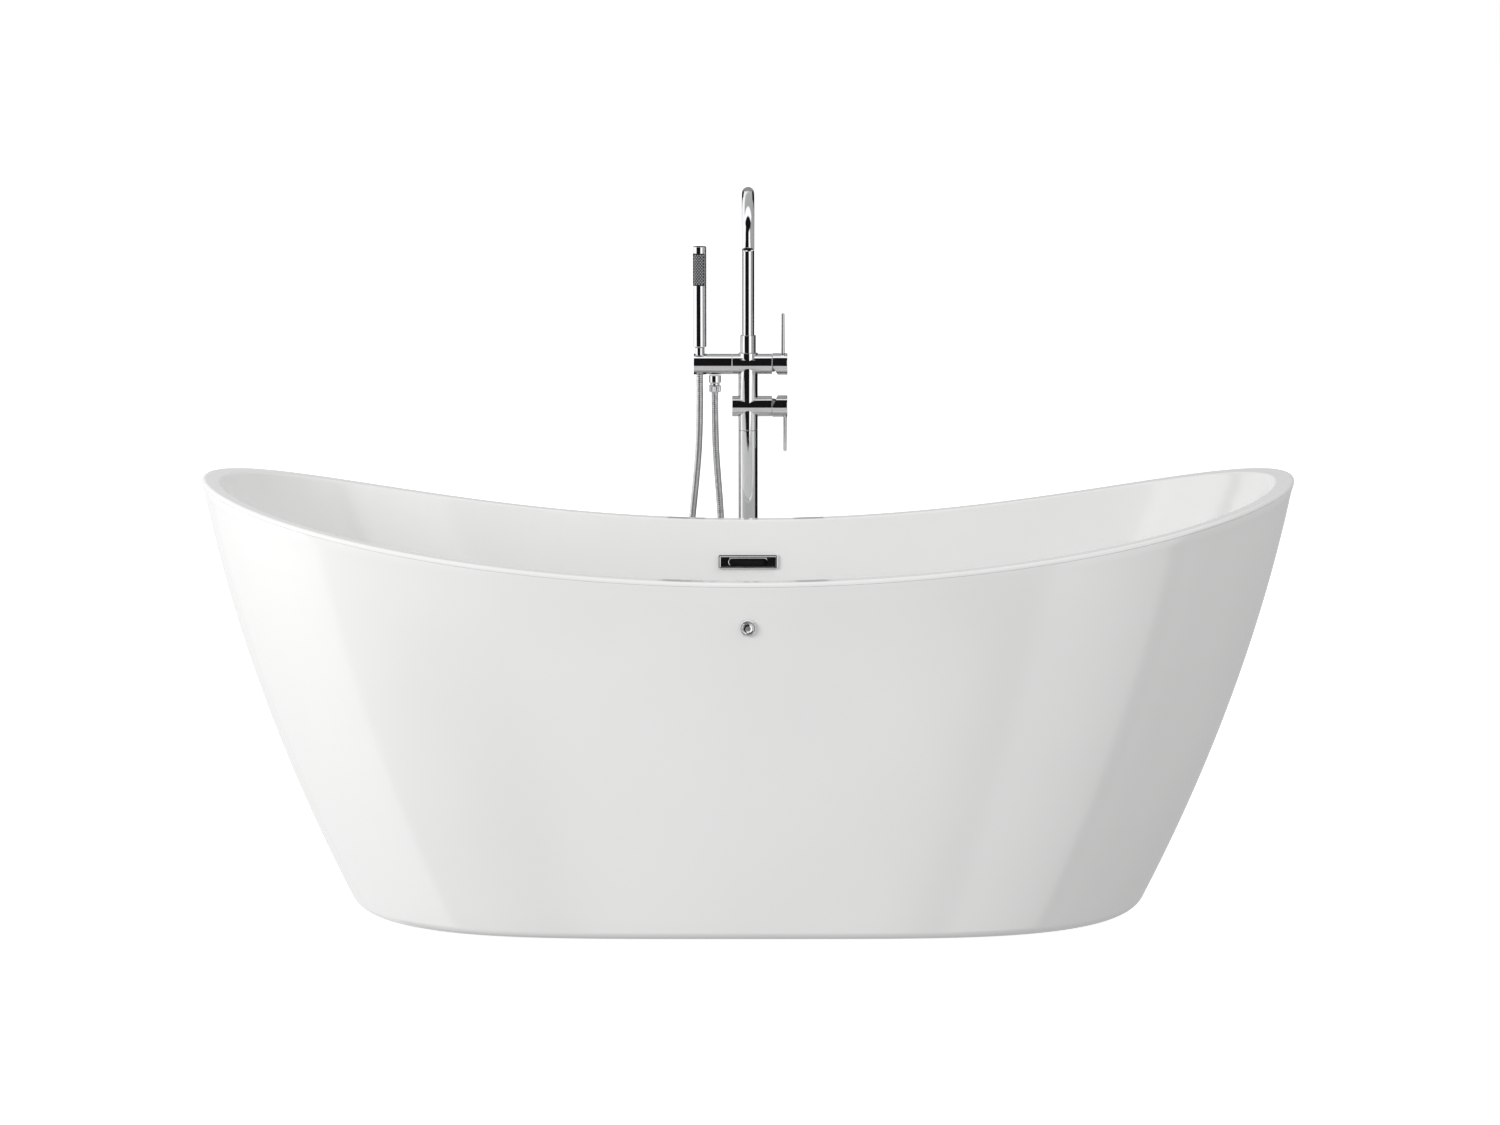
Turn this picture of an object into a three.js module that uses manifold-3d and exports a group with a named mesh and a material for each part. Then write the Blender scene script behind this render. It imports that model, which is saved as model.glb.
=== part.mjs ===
// Freestanding double-ended bathtub with its floor-standing filler.
// Millimetres. +Z up, +X along the tub, -Y the front, +Y the filler side.
import * as THREE from 'three';
import { mergeVertices } from 'three/addons/utils/BufferGeometryUtils.js';
import Module from 'manifold-3d';

const wasm = await Module();
wasm.setup();

// ---- tub -------------------------------------------------------------
const RIM_LENGTH = 1800;
const RIM_END_Z = 718;
const RIM_MID_Z = 592;
const RIM_HALF_WIDTH = 377;
const BASE_HALF_LENGTH = 651;
const BASE_HALF_WIDTH = 330;
const WALL_BOW = 0.46;
const RIM_SQUARENESS = 5.2;
const BASE_SQUARENESS = 4.4;
const RIM_WIDTH = 30;
const LIP_DROP = 7;
const LIP_GAP = 0.5;
const SHELL = 6;
const SKIRT_LIFT = 4;
const SKIRT_WALL = 5;
const BASE_ROUND = 14;
const BASE_RETURN = 40;
const FLOOR_Z = 165;
const FLOOR_THICK = 7;
const FLOOR_HALF_LENGTH = 500;
const FLOOR_HALF_WIDTH = 205;
const FLOOR_SQUARENESS = 4.0;
const INNER_BOW = 1.3;
const AROUND = 64;
const GAP = 0.3;
const THROUGH = 60; // longer than any wall a cutter has to pass

// ---- underframe ------------------------------------------------------
const BOARD = { length: 860, width: 380, thick: 12, hole: 34 };
const BOARD_TOP = FLOOR_Z - FLOOR_THICK - GAP;
const RAIL = { length: 900, width: 25, height: 30, y: 150 };
const RAIL_TOP = BOARD_TOP - BOARD.thick - GAP;
const CROSS = { length: 450, width: 40, height: 25, x: 330 };
const CROSS_TOP = RAIL_TOP - RAIL.height - GAP;
const FOOT = { y: 202, padR: 24, padH: 10, studR: 6, nutR: 11, nutH: 10, top: 122 };

// ---- waste and overflow ----------------------------------------------
const WASTE = {
  holeR: 26, throatR: 20, throatWall: 3, flangeR: 35, flangeH: 2.5, plugR: 30, stemR: 5,
};
const GASKET = { r: 38, thick: 3 };
const WASTE_BODY = { r: 36, bottom: 78, boreFloor: 92, elbowR: 14, elbowZ: 102, elbowEnd: 64 };
const TRAP = { r: 46, bottom: 16, corner: 8, pipeR: 16, reach: 230, z: 44 };
const OVERFLOW = {
  z: 520, length: 102, height: 24, depth: 5, edge: 4, slotL: 66, slotH: 12, pipeR: 9.5,
};
const OVERFLOW_HOLE = { length: 80, height: 15, corner: 5 };
const OVERFLOW_BODY = { length: 92, height: 28, depth: 13, corner: 4, clear: 3, spigotR: 7, spigotL: 26 };

// ---- control button --------------------------------------------------
const BUTTON = {
  z: 520, r: 13.2, boreR: 10.4, proud: 5, barrelR: 8, nutR: 12, nutFrom: 8, nutTo: 17, end: 19,
};

// ---- filler ----------------------------------------------------------
const FILLER_Y = 500;
const COVER = { r: 55, h: 16, wall: 2, top: 2.5, corner: 3 };
const PLATE = {
  r: 46, thick: 6, anchorRing: 36, anchorR: 3, headR: 5.5, headH: 3.7, pipeR: 5, pipeX: 7,
};
const COLUMN = { r: 17, boreR: 14, top: 730 };
const BAR_R = 18.3;
const UPPER_Z = 846;
const LOWER_Z = 772;
const BODY_TOP = 866;
const BAR_LEFT = -27.8;
const SEAM_X = 41.7;
const PIVOT_X = 42;
const HOLDER_X = -95.3;
const SHOWER_X = -84.5;
const OUTLET_X = -58;
const OUTLET = { r: 10.8, neckR: 8.2, bottom: 809, neckTop: 813, nutBottom: 797, nutTop: 808.7 };
const HANDLE = { r: 19.2, end: 68.7, cavityR: 14.4, ballR: 13.8, relief: 28 };
const CARTRIDGE = { r: 14.6, from: 20, boreR: 15 };
const LEVER_R = 3.25;
const SPOUT = { r: 11, bend: 105, sweep: 157, topZ: 1152, endLength: 26, foot: 850, sides: 16 };
const COLLAR = { r: 13.6, top: 897 };
const SHOWER = { r: 12, bottom: 876, top: 1052, faceFrom: 984, faceTo: 1040, turn: 15 };
const HOSE_R = 6;

// The set is centred on its own bounding box, so tub and filler share one shift.
const SET_SHIFT_Y = (RIM_HALF_WIDTH - (FILLER_Y + COVER.r)) / 2;

const group = new THREE.Group();
group.name = 'freestanding_bathtub';

const looks = {
  acrylic: { color: '#f4f4f2', roughness: 0.15, metalness: 0 },
  board: { color: '#b08d5e', roughness: 0.8, metalness: 0 },
  steel: { color: '#9aa0a5', roughness: 0.4, metalness: 1 },
  chrome: { color: '#d9dcde', roughness: 0.08, metalness: 1 },
  rubber: { color: '#1c1c1d', roughness: 0.7, metalness: 0 },
  plastic: { color: '#e3e3e0', roughness: 0.5, metalness: 0 },
  black: { color: '#19191a', roughness: 0.5, metalness: 0 },
  brass: { color: '#c9a45c', roughness: 0.35, metalness: 1 },
};

function add(name, look, geometry) {
  const material = new THREE.MeshStandardMaterial({ name: `${name}_${look}`, ...looks[look] });
  const mesh = new THREE.Mesh(geometry, material);
  mesh.name = name;
  mesh.position.y = SET_SHIFT_Y;
  group.add(mesh);
}

// ---- small geometry helpers ------------------------------------------
const mix = (a, b, t) => a + (b - a) * t;
const rad = THREE.MathUtils.degToRad;
const moved = (geometry, x, y, z) => geometry.translate(x, y, z);

function welded(geometry) {
  const bare = geometry.clone();
  bare.deleteAttribute('normal');
  bare.deleteAttribute('uv');
  return mergeVertices(bare, 1e-4);
}

function solid(geometry) {
  const bare = welded(geometry);
  return new wasm.Manifold(new wasm.Mesh({
    numProp: 3,
    vertProperties: new Float32Array(bare.attributes.position.array),
    triVerts: new Uint32Array(bare.index.array),
  }));
}

function carved(geometry, ...cutters) {
  let body = solid(geometry);
  for (const cutter of cutters) body = body.subtract(solid(cutter));
  return fromSolid(body);
}

function fromSolid(body) {
  const mesh = body.getMesh();
  const geometry = new THREE.BufferGeometry();
  geometry.setAttribute('position', new THREE.BufferAttribute(mesh.vertProperties, 3));
  geometry.setIndex(new THREE.BufferAttribute(mesh.triVerts, 1));
  geometry.computeVertexNormals();
  return geometry;
}

// Profile is [radius, height] pairs, bottom to top on the outside.
function turned(profile, sides = 16) {
  const points = profile.map(([r, z]) => new THREE.Vector2(r, z));
  return new THREE.LatheGeometry(points, sides).rotateX(Math.PI / 2);
}

const rod = (r, z0, z1, sides) => turned([[0, z0], [r, z0], [r, z1], [0, z1]], sides);
const ring = (inner, outer, z0, z1, sides) => turned(
  [[inner, z0], [outer, z0], [outer, z1], [inner, z1], [inner, z0]], sides);

const alongX = (geometry) => geometry.rotateY(Math.PI / 2);
const box = (x, y, z) => new THREE.BoxGeometry(x, y, z);

function roundedPlate(length, height, depth, radius) {
  const shape = new THREE.Shape();
  const [x, y] = [length / 2 - radius, height / 2 - radius];
  const corners = [[x, y, 0], [-x, y, 90], [-x, -y, 180], [x, -y, 270]];
  for (const [cx, cy, start] of corners) {
    shape.absarc(cx, cy, radius, rad(start), rad(start + 90), false);
  }
  return new THREE.ExtrudeGeometry(shape, { depth, bevelEnabled: false, curveSegments: 3 });
}

function tubeAlong(path, radius, sides, steps) {
  const shape = new THREE.Shape();
  for (let i = 0; i < sides; i += 1) {
    const a = (i / sides) * 2 * Math.PI;
    const point = [radius * Math.cos(a), radius * Math.sin(a)];
    if (i === 0) shape.moveTo(...point); else shape.lineTo(...point);
  }
  shape.closePath();
  return new THREE.ExtrudeGeometry(shape, { steps, extrudePath: path, bevelEnabled: false });
}

const curveThrough = (points) => new THREE.CatmullRomCurve3(
  points.map((p) => new THREE.Vector3(...p)), false, 'centripetal');

// Rings of points joined into one closed skin. A ring of one repeated point closes a pole.
function skin(rings, closedProfile) {
  const positions = [];
  const index = [];
  const start = rings.map((ringPoints) => {
    const first = positions.length / 3;
    ringPoints.forEach((p) => positions.push(p.x, p.y, p.z));
    return { first, count: ringPoints.length };
  });
  const last = closedProfile ? rings.length : rings.length - 1;
  for (let r = 0; r < last; r += 1) {
    const a = start[r];
    const b = start[(r + 1) % rings.length];
    for (let i = 0; i < AROUND; i += 1) {
      const j = (i + 1) % AROUND;
      const at = (ringStart, k) => ringStart.first + (ringStart.count === 1 ? 0 : k);
      if (b.count > 1) index.push(at(a, i), at(b, j), at(b, i));
      if (a.count > 1) index.push(at(a, i), at(a, j), at(b, j));
    }
  }
  const geometry = new THREE.BufferGeometry();
  geometry.setAttribute('position', new THREE.Float32BufferAttribute(positions, 3));
  geometry.setIndex(index);
  geometry.computeVertexNormals();
  return geometry;
}

// ---- the tub's form ---------------------------------------------------
const HALF_LENGTH = RIM_LENGTH / 2;
const rimHeight = (x) => RIM_MID_Z + (RIM_END_Z - RIM_MID_Z) * (x / HALF_LENGTH) ** 2;
const bowed = (h) => (1 - WALL_BOW) * h + WALL_BOW * h * h;
const halfLength = (z) => HALF_LENGTH
  - (HALF_LENGTH - BASE_HALF_LENGTH) * bowed((RIM_END_Z - z) / RIM_END_Z);
const halfWidth = (z) => RIM_HALF_WIDTH
  - (RIM_HALF_WIDTH - BASE_HALF_WIDTH) * bowed((RIM_MID_Z - z) / RIM_MID_Z);

// Long sides nearly straight, ends an even round: |x| ** squareness + y ** 2 = 1.
function plan(angle, squareness) {
  const along = Math.cos(angle);
  return [Math.sign(along) * Math.abs(along) ** (2 / squareness), Math.sin(angle)];
}

// Angles that step evenly along the rim, mirrored into all four quarters.
function evenAngles(count) {
  const fine = 2000;
  const eased = (i) => (Math.PI / 2) * (1 - (1 - i / fine) ** 3);
  const track = Array.from({ length: fine + 1 }, (_, i) => plan(eased(i), RIM_SQUARENESS));
  const run = [0];
  for (let i = 1; i <= fine; i += 1) {
    const stepX = (track[i][0] - track[i - 1][0]) * HALF_LENGTH;
    const stepY = (track[i][1] - track[i - 1][1]) * RIM_HALF_WIDTH;
    run.push(run[i - 1] + Math.hypot(stepX, stepY));
  }
  const quarter = [];
  let k = 0;
  for (let step = 0; step < count / 4; step += 1) {
    const goal = (run[fine] * step) / (count / 4);
    while (run[k + 1] < goal) k += 1;
    quarter.push(eased(k + (goal - run[k]) / (run[k + 1] - run[k])));
  }
  const half = [...quarter, Math.PI / 2, ...quarter.slice(1).reverse().map((a) => Math.PI - a)];
  return [...half, Math.PI, ...half.slice(1).reverse().map((a) => 2 * Math.PI - a)];
}
const angles = evenAngles(AROUND);

// A point of the outside: up runs 0 at the skirt's foot to 1 at the rim.
function outside(angle, up, inset = 0, rise = 0) {
  let z = mix(SKIRT_LIFT, RIM_MID_Z, up);
  let [x, y] = [0, 0];
  for (let pass = 0; pass < 8; pass += 1) {
    const [ex, ey] = plan(angle, mix(BASE_SQUARENESS, RIM_SQUARENESS, z / RIM_END_Z));
    x = (halfLength(z) - inset) * ex;
    y = (halfWidth(z) - inset) * ey;
    z = mix(SKIRT_LIFT, rimHeight(x), up);
  }
  return new THREE.Vector3(x, y, z + rise);
}

// A point of the bathing well: up runs 0 at its floor to 1 at the rim's inner edge.
function inside(angle, up, grow = 0) {
  const rim = outside(angle, 1, RIM_WIDTH - grow);
  const [ex, ey] = plan(angle, FLOOR_SQUARENESS);
  const spread = (1 - (1 - up) ** INNER_BOW) ** (1 / INNER_BOW);
  return new THREE.Vector3(
    mix((FLOOR_HALF_LENGTH + grow) * ex, rim.x, spread),
    mix((FLOOR_HALF_WIDTH + grow) * ey, rim.y, spread),
    mix(FLOOR_Z, rim.z, up) - (grow > 0 ? FLOOR_THICK : 0),
  );
}

const centre = (z) => [new THREE.Vector3(0, 0, z)];
const around = (place) => angles.map(place);
const OVERFLOW_BAND = [0.89, 0.78];
const WALL_STEPS = [...OVERFLOW_BAND, 0.58, 0.36, 0.18, 0.06, 0];

function basinSkin() {
  const upTheWall = [...WALL_STEPS].reverse();
  const rimEdge = [[RIM_WIDTH, -4], [25, 0], [4, 0], [0, -3.5], [0, -LIP_DROP],
    [RIM_WIDTH - SHELL, -LIP_DROP]];
  const rings = [
    centre(FLOOR_Z - FLOOR_THICK),
    ...upTheWall.map((up) => around((a) => inside(a, up, SHELL))),
    ...[...rimEdge].reverse().map(([inset, rise]) => around((a) => outside(a, 1, inset, rise))),
    ...WALL_STEPS.map((up) => around((a) => inside(a, up))),
    centre(FLOOR_Z),
  ];
  return skin(rings, false);
}

function skirtSkin() {
  const height = RIM_MID_Z - SKIRT_LIFT;
  const round = (share) => [
    BASE_ROUND * (1 - Math.cos(share * Math.PI / 2)) / height,
    BASE_ROUND * (1 - Math.sin(share * Math.PI / 2)),
  ];
  const rows = [[0, BASE_RETURN, 0], [0, BASE_ROUND, 0]];
  for (const share of [0.5, 1]) rows.push([...round(share), 0]);
  const levels = [0.25, 0.5, 0.75];
  levels.forEach((up) => rows.push([up, 0, 0]));
  rows.push([1, 0, -LIP_DROP - LIP_GAP], [1, SKIRT_WALL, -LIP_DROP - LIP_GAP]);
  [...levels].reverse().forEach((up) => rows.push([up, SKIRT_WALL, 0]));
  rows.push([round(1)[0], SKIRT_WALL + 2, 0], [0, BASE_ROUND + 3, SKIRT_WALL]);
  rows.push([0, BASE_RETURN, SKIRT_WALL]);
  return skin(rows.map(([up, inset, rise]) => around((a) => outside(a, up, inset, rise))), true);
}

// The overflow sits on one straight band of the well's rear wall.
const [bandTop, bandFoot] = OVERFLOW_BAND.map((up) => inside(Math.PI / 2, up));
const bandShare = (OVERFLOW.z - bandFoot.z) / (bandTop.z - bandFoot.z);
const OVERFLOW_Y = mix(bandFoot.y, bandTop.y, bandShare);
const OVERFLOW_LEAN = Math.atan2(bandTop.y - bandFoot.y, bandTop.z - bandFoot.z);
const BUTTON_Y = -halfWidth(BUTTON.z);
const BUTTON_LEAN = Math.atan2(halfWidth(BUTTON.z + 10) - halfWidth(BUTTON.z - 10), 20);

// Local z is out of the wall, towards the bather, with local y up the wall.
const ontoOverflow = (geometry) => moved(
  geometry.rotateX(Math.PI / 2 - OVERFLOW_LEAN), 0, OVERFLOW_Y, OVERFLOW.z);
// Local z is out of the skirt, towards the front.
const ontoButton = (geometry) => moved(
  geometry.rotateX(Math.PI / 2 + BUTTON_LEAN), 0, BUTTON_Y, BUTTON.z);

function buildShells() {
  const wasteHole = rod(WASTE.holeR, FLOOR_Z - THROUGH, FLOOR_Z + THROUGH, 24);
  const { length, height, corner } = OVERFLOW_HOLE;
  const overflowHole = ontoOverflow(
    moved(roundedPlate(length, height, THROUGH, corner), 0, 0, -THROUGH / 2));
  add('tub_basin', 'acrylic', carved(basinSkin(), wasteHole, overflowHole));
  const buttonHole = ontoButton(rod(BUTTON.barrelR + GAP, -THROUGH, THROUGH, 20));
  add('tub_skirt', 'acrylic', carved(skirtSkin(), buttonHole));
}

function buildUnderframe() {
  const board = moved(box(BOARD.length, BOARD.width, BOARD.thick), 0, 0, BOARD_TOP - BOARD.thick / 2);
  const boardHole = rod(BOARD.hole, BOARD_TOP - THROUGH, BOARD_TOP + THROUGH, 20);
  add('tub_floor_board', 'board', carved(board, boardHole));
  for (const [side, y] of [['front', -RAIL.y], ['rear', RAIL.y]]) {
    const rail = box(RAIL.length, RAIL.width, RAIL.height);
    add(`frame_rail_${side}`, 'steel', moved(rail, 0, y, RAIL_TOP - RAIL.height / 2));
  }
  for (const [side, x] of [['left', -CROSS.x], ['right', CROSS.x]]) {
    const bar = moved(box(CROSS.width, CROSS.length, CROSS.height), x, 0, CROSS_TOP - CROSS.height / 2);
    const bore = rod(FOOT.studR + GAP, 0, CROSS_TOP + THROUGH, 16);
    const bores = [-FOOT.y, FOOT.y].map((y) => moved(bore.clone(), x, y, 0));
    add(`frame_cross_${side}`, 'steel', carved(bar, ...bores));
  }
}

function buildFeet() {
  const nutTop = CROSS_TOP - CROSS.height - GAP;
  for (const [end, x] of [['left', -CROSS.x], ['right', CROSS.x]]) {
    for (const [side, y] of [['front', -FOOT.y], ['rear', FOOT.y]]) {
      const name = `foot_${side}_${end}`;
      const pad = turned([[0, 0], [FOOT.padR, 0], [FOOT.padR, 6], [14, FOOT.padH], [0, FOOT.padH]], 20);
      add(`${name}_pad`, 'rubber', moved(pad, x, y, 0));
      const stud = rod(FOOT.studR, FOOT.padH + GAP, FOOT.top, 16);
      add(`${name}_stud`, 'steel', moved(stud, x, y, 0));
      const nut = ring(FOOT.studR + GAP, FOOT.nutR, nutTop - FOOT.nutH, nutTop, 12);
      add(`${name}_nut`, 'steel', moved(nut, x, y, 0));
    }
  }
}

function buildWaste() {
  const { throatR, throatWall, flangeR, flangeH, plugR, stemR } = WASTE;
  const flangeTop = FLOOR_Z + flangeH;
  add('waste_flange', 'chrome', turned([
    [throatR, FLOOR_Z - 30], [throatR + throatWall, FLOOR_Z - 30],
    [throatR + throatWall, FLOOR_Z + GAP], [flangeR, FLOOR_Z + GAP], [flangeR - 1, flangeTop],
    [throatR, flangeTop], [throatR, FLOOR_Z - 30]], 24));
  const plugBase = flangeTop + GAP;
  add('waste_plug', 'chrome', turned([
    [0, FLOOR_Z - 40], [stemR, FLOOR_Z - 40], [stemR, plugBase], [plugR, plugBase],
    [plugR, plugBase + 2], [plugR - 4, plugBase + 4.5], [0, plugBase + 6]], 24));
  const gasketTop = BOARD_TOP - BOARD.thick - GAP;
  const throatBore = throatR + throatWall + GAP;
  add('waste_gasket', 'rubber', ring(throatBore, GASKET.r, gasketTop - GASKET.thick, gasketTop, 24));
  const bodyTop = gasketTop - GASKET.thick - GAP;
  const elbow = moved(
    rod(WASTE_BODY.elbowR, 18, WASTE_BODY.elbowEnd, 16).rotateX(-Math.PI / 2), 0, 0, WASTE_BODY.elbowZ);
  const cup = solid(rod(WASTE_BODY.r, WASTE_BODY.bottom, bodyTop, 24)).add(solid(elbow));
  const bore = rod(throatBore, WASTE_BODY.boreFloor, bodyTop + 1, 20);
  add('waste_body', 'plastic', fromSolid(cup.subtract(solid(bore))));
  const trapTop = WASTE_BODY.bottom - GAP;
  const { r, bottom, corner, reach, z } = TRAP;
  add('waste_trap', 'plastic', turned([
    [0, bottom], [r - corner, bottom], [r, bottom + corner], [r, trapTop - corner],
    [r - corner, trapTop], [0, trapTop]], 24));
  const bend = curveThrough([[r + 1, 0, z], [120, 0, z], [180, 0, z], [reach - 18, 0, 40],
    [reach - 4, 0, 26], [reach, 0, 8], [reach, 0, 2]]);
  add('waste_outlet', 'plastic', tubeAlong(bend, TRAP.pipeR, 12, 9));
}

function buildOverflow() {
  const { length, height, depth, edge, slotL, slotH } = OVERFLOW;
  const slot = moved(roundedPlate(slotL, slotH, 30, slotH / 2 - 0.5), 0, 0, -10);
  const plate = moved(roundedPlate(length, height, depth, 2.5), 0, 0, 1);
  const recess = moved(box(length - 2 * edge, height - 2 * edge + 1, 10), 0, 0, depth + 4);
  add('overflow_plate', 'chrome', ontoOverflow(carved(plate, slot, recess)));
  const part = OVERFLOW_BODY;
  const front = -(SHELL + part.clear);
  const block = roundedPlate(part.length, part.height, part.depth, part.corner);
  const duct = roundedPlate(OVERFLOW_HOLE.length - 6, OVERFLOW_HOLE.height - 3, 10, part.corner);
  const spigot = rod(part.spigotR, 0, part.spigotL, 16).rotateX(Math.PI / 2);
  const shell = solid(moved(block, 0, 0, front - part.depth))
    .add(solid(moved(spigot, 0, -part.height / 2 + 1, front - part.depth / 2)))
    .subtract(solid(moved(duct, 0, 0, front - 9)));
  add('overflow_body', 'black', ontoOverflow(fromSolid(shell)));
  const route = curveThrough([[470, 343], [440, 339], [380, 329], [300, 310], [220, 284],
    [160, 256], [124, 228], [105, 190], [102, 140], [102, 66]].map(([z, y]) => [0, y, z]));
  add('overflow_pipe', 'plastic', tubeAlong(route, OVERFLOW.pipeR, 10, 14));
}

function buildButton() {
  const bezel = turned([[BUTTON.boreR, GAP], [BUTTON.r, GAP], [BUTTON.r, 3.5],
    [BUTTON.r - 1.4, BUTTON.proud], [BUTTON.boreR, BUTTON.proud], [BUTTON.boreR, GAP]], 24);
  add('button_bezel', 'chrome', ontoButton(bezel));
  const cap = turned([[0, 3.6], [BUTTON.boreR - GAP, 3.6], [BUTTON.boreR - GAP, 6.6],
    [9, 7.4], [7.4, 7.4], [7.1, 8], [0, 8]], 24);
  add('button_cap', 'chrome', ontoButton(cap));
  const { barrelR, nutR, nutFrom, nutTo, end } = BUTTON;
  const barrel = turned([[0, -end], [barrelR - 1, -end], [barrelR - 1, -nutTo], [nutR, -nutTo],
    [nutR, -nutFrom], [barrelR, -nutFrom], [barrelR, 0.2], [0, 0.2]], 20);
  add('button_barrel', 'plastic', ontoButton(barrel));
}

const atColumn = (geometry, x = 0, z = 0) => moved(geometry, x, FILLER_Y, z);

function buildFillerBase() {
  const { r, thick, anchorRing, anchorR, headR, headH, pipeR, pipeX } = PLATE;
  const turns = [90, 210, 330].map(rad);
  const place = (a) => [anchorRing * Math.cos(a), anchorRing * Math.sin(a)];
  const bores = turns.map((a) => moved(rod(anchorR + GAP, -1, 10, 12), ...place(a), 0));
  const pipes = [-pipeX, pipeX].map((x) => moved(rod(pipeR + 0.4, -1, 10, 12), x, 0, 0));
  add('filler_base_plate', 'steel', atColumn(carved(rod(r, 0, thick, 24), ...bores, ...pipes)));
  const headFoot = thick + GAP;
  turns.forEach((a, i) => {
    const screw = turned([[0, 1], [anchorR, 1], [anchorR, headFoot], [headR, headFoot],
      [headR, headFoot + headH], [0, headFoot + headH]], 12);
    add(`filler_anchor_${i + 1}`, 'steel', atColumn(moved(screw, ...place(a), 0)));
  });
  const underTop = COVER.h - COVER.top;
  add('filler_base_cover', 'chrome', atColumn(turned([
    [COVER.r - COVER.wall, 0.5], [COVER.r, 0.5], [COVER.r, COVER.h - 2], [COVER.r - COVER.corner, COVER.h],
    [COLUMN.r + GAP, COVER.h], [COLUMN.r + GAP, underTop], [COVER.r - COVER.corner - 0.5, underTop],
    [COVER.r - COVER.wall, underTop - 1.5], [COVER.r - COVER.wall, 0.5]], 24)));
}

function buildColumn() {
  const foot = PLATE.thick + GAP;
  add('filler_column', 'chrome', atColumn(ring(COLUMN.boreR, COLUMN.r, foot, COLUMN.top, 24)));
  for (const [name, x] of [['cold', PLATE.pipeX], ['hot', -PLATE.pipeX]]) {
    add(`filler_${name}_pipe`, 'brass', atColumn(rod(PLATE.pipeR, 2, COLUMN.top, 12), x));
  }
}

function buildBody() {
  const bar = (z) => moved(alongX(rod(BAR_R, BAR_LEFT, SEAM_X, 24)), 0, 0, z);
  const bore = (z) => moved(alongX(rod(CARTRIDGE.boreR, CARTRIDGE.from, 60, 16)), 0, 0, z);
  const post = solid(rod(COLUMN.r, COLUMN.top + GAP, BODY_TOP, 24));
  const socket = solid(rod(SPOUT.r + GAP, SPOUT.foot - 2, 900, 16));
  let body = post.add(solid(bar(UPPER_Z))).add(solid(bar(LOWER_Z)));
  for (const z of [UPPER_Z, LOWER_Z]) body = body.subtract(solid(bore(z)));
  add('filler_body', 'chrome', atColumn(fromSolid(body.subtract(socket))));
}

// Side +1 has the lever up and its relief underneath; -1 is the other way round.
function buildValve(name, z, side, lever) {
  const inBar = (geometry) => atColumn(moved(alongX(geometry), 0, 0, z));
  add(`filler_${name}_cartridge`, 'plastic', inBar(ring(8.5, CARTRIDGE.r,
    CARTRIDGE.from + GAP, SEAM_X - 1, 16)));
  const dome = [];
  for (let i = 0; i <= 4; i += 1) {
    const a = rad(i * 22.5);
    dome.push([HANDLE.ballR * Math.cos(a), PIVOT_X + HANDLE.ballR * Math.sin(a)]);
  }
  dome[dome.length - 1][0] = 0;
  add(`filler_${name}_ball`, 'steel', inBar(turned([[0, 28], [8, 28], [8, SEAM_X],
    [HANDLE.ballR, SEAM_X], ...dome], 16)));
  const shell = solid(alongX(turned([[0, PIVOT_X], [HANDLE.r, PIVOT_X], [HANDLE.r, HANDLE.end - 1],
    [HANDLE.r - 1, HANDLE.end], [0, HANDLE.end]], 24)));
  const cavity = solid(moved(new THREE.SphereGeometry(HANDLE.cavityR, 16, 10), PIVOT_X, 0, 0));
  const relief = moved(box(60, 60, 60), -30, 0, side * -30).rotateY(rad(side * -HANDLE.relief));
  const lowerHalf = solid(moved(relief, PIVOT_X, 0, 0));
  const socket = rod(LEVER_R + GAP, HANDLE.r - 4, HANDLE.r + 5, 12);
  if (side < 0) socket.rotateX(Math.PI);
  const hole = solid(moved(socket, lever.x, 0, 0));
  const handle = fromSolid(shell.subtract(cavity).subtract(lowerHalf).subtract(hole));
  add(`filler_${name}_handle`, 'chrome', atColumn(handle, 0, z));
  const pin = turned([[0, HANDLE.r - 4 + GAP], [LEVER_R, HANDLE.r - 4 + GAP],
    [LEVER_R, lever.length - 1], [LEVER_R - 0.8, lever.length], [0, lever.length]], 14);
  if (side < 0) pin.rotateX(Math.PI);
  add(`filler_${name}_lever`, 'chrome', atColumn(pin, lever.x, z));
}

function buildHolder() {
  const bar = solid(alongX(rod(BAR_R, HOLDER_X, BAR_LEFT - GAP, 24)));
  const cone = turned([[0, -25], [7.5, -25], [7.5, -10], [9.2, 8], [9.2, 30], [0, 30]], 20);
  const holder = bar.subtract(solid(moved(cone, SHOWER_X, 0, 0)));
  add('filler_holder', 'chrome', atColumn(fromSolid(holder), 0, UPPER_Z));
  const nippleTop = UPPER_Z - BAR_R - 1.5;
  const { r, neckR, bottom, neckTop, nutBottom, nutTop } = OUTLET;
  add('filler_outlet', 'chrome', atColumn(turned([[0, bottom], [neckR, bottom], [neckR, neckTop],
    [r, neckTop + 0.5], [r, nippleTop], [0, nippleTop]], 24), OUTLET_X));
  add('filler_hose_nut', 'chrome', atColumn(turned([[0, nutBottom], [r - 0.8, nutBottom],
    [r, nutBottom + 1], [r, nutTop - 1], [r - 0.8, nutTop], [0, nutTop]], 24), OUTLET_X));
}

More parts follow.
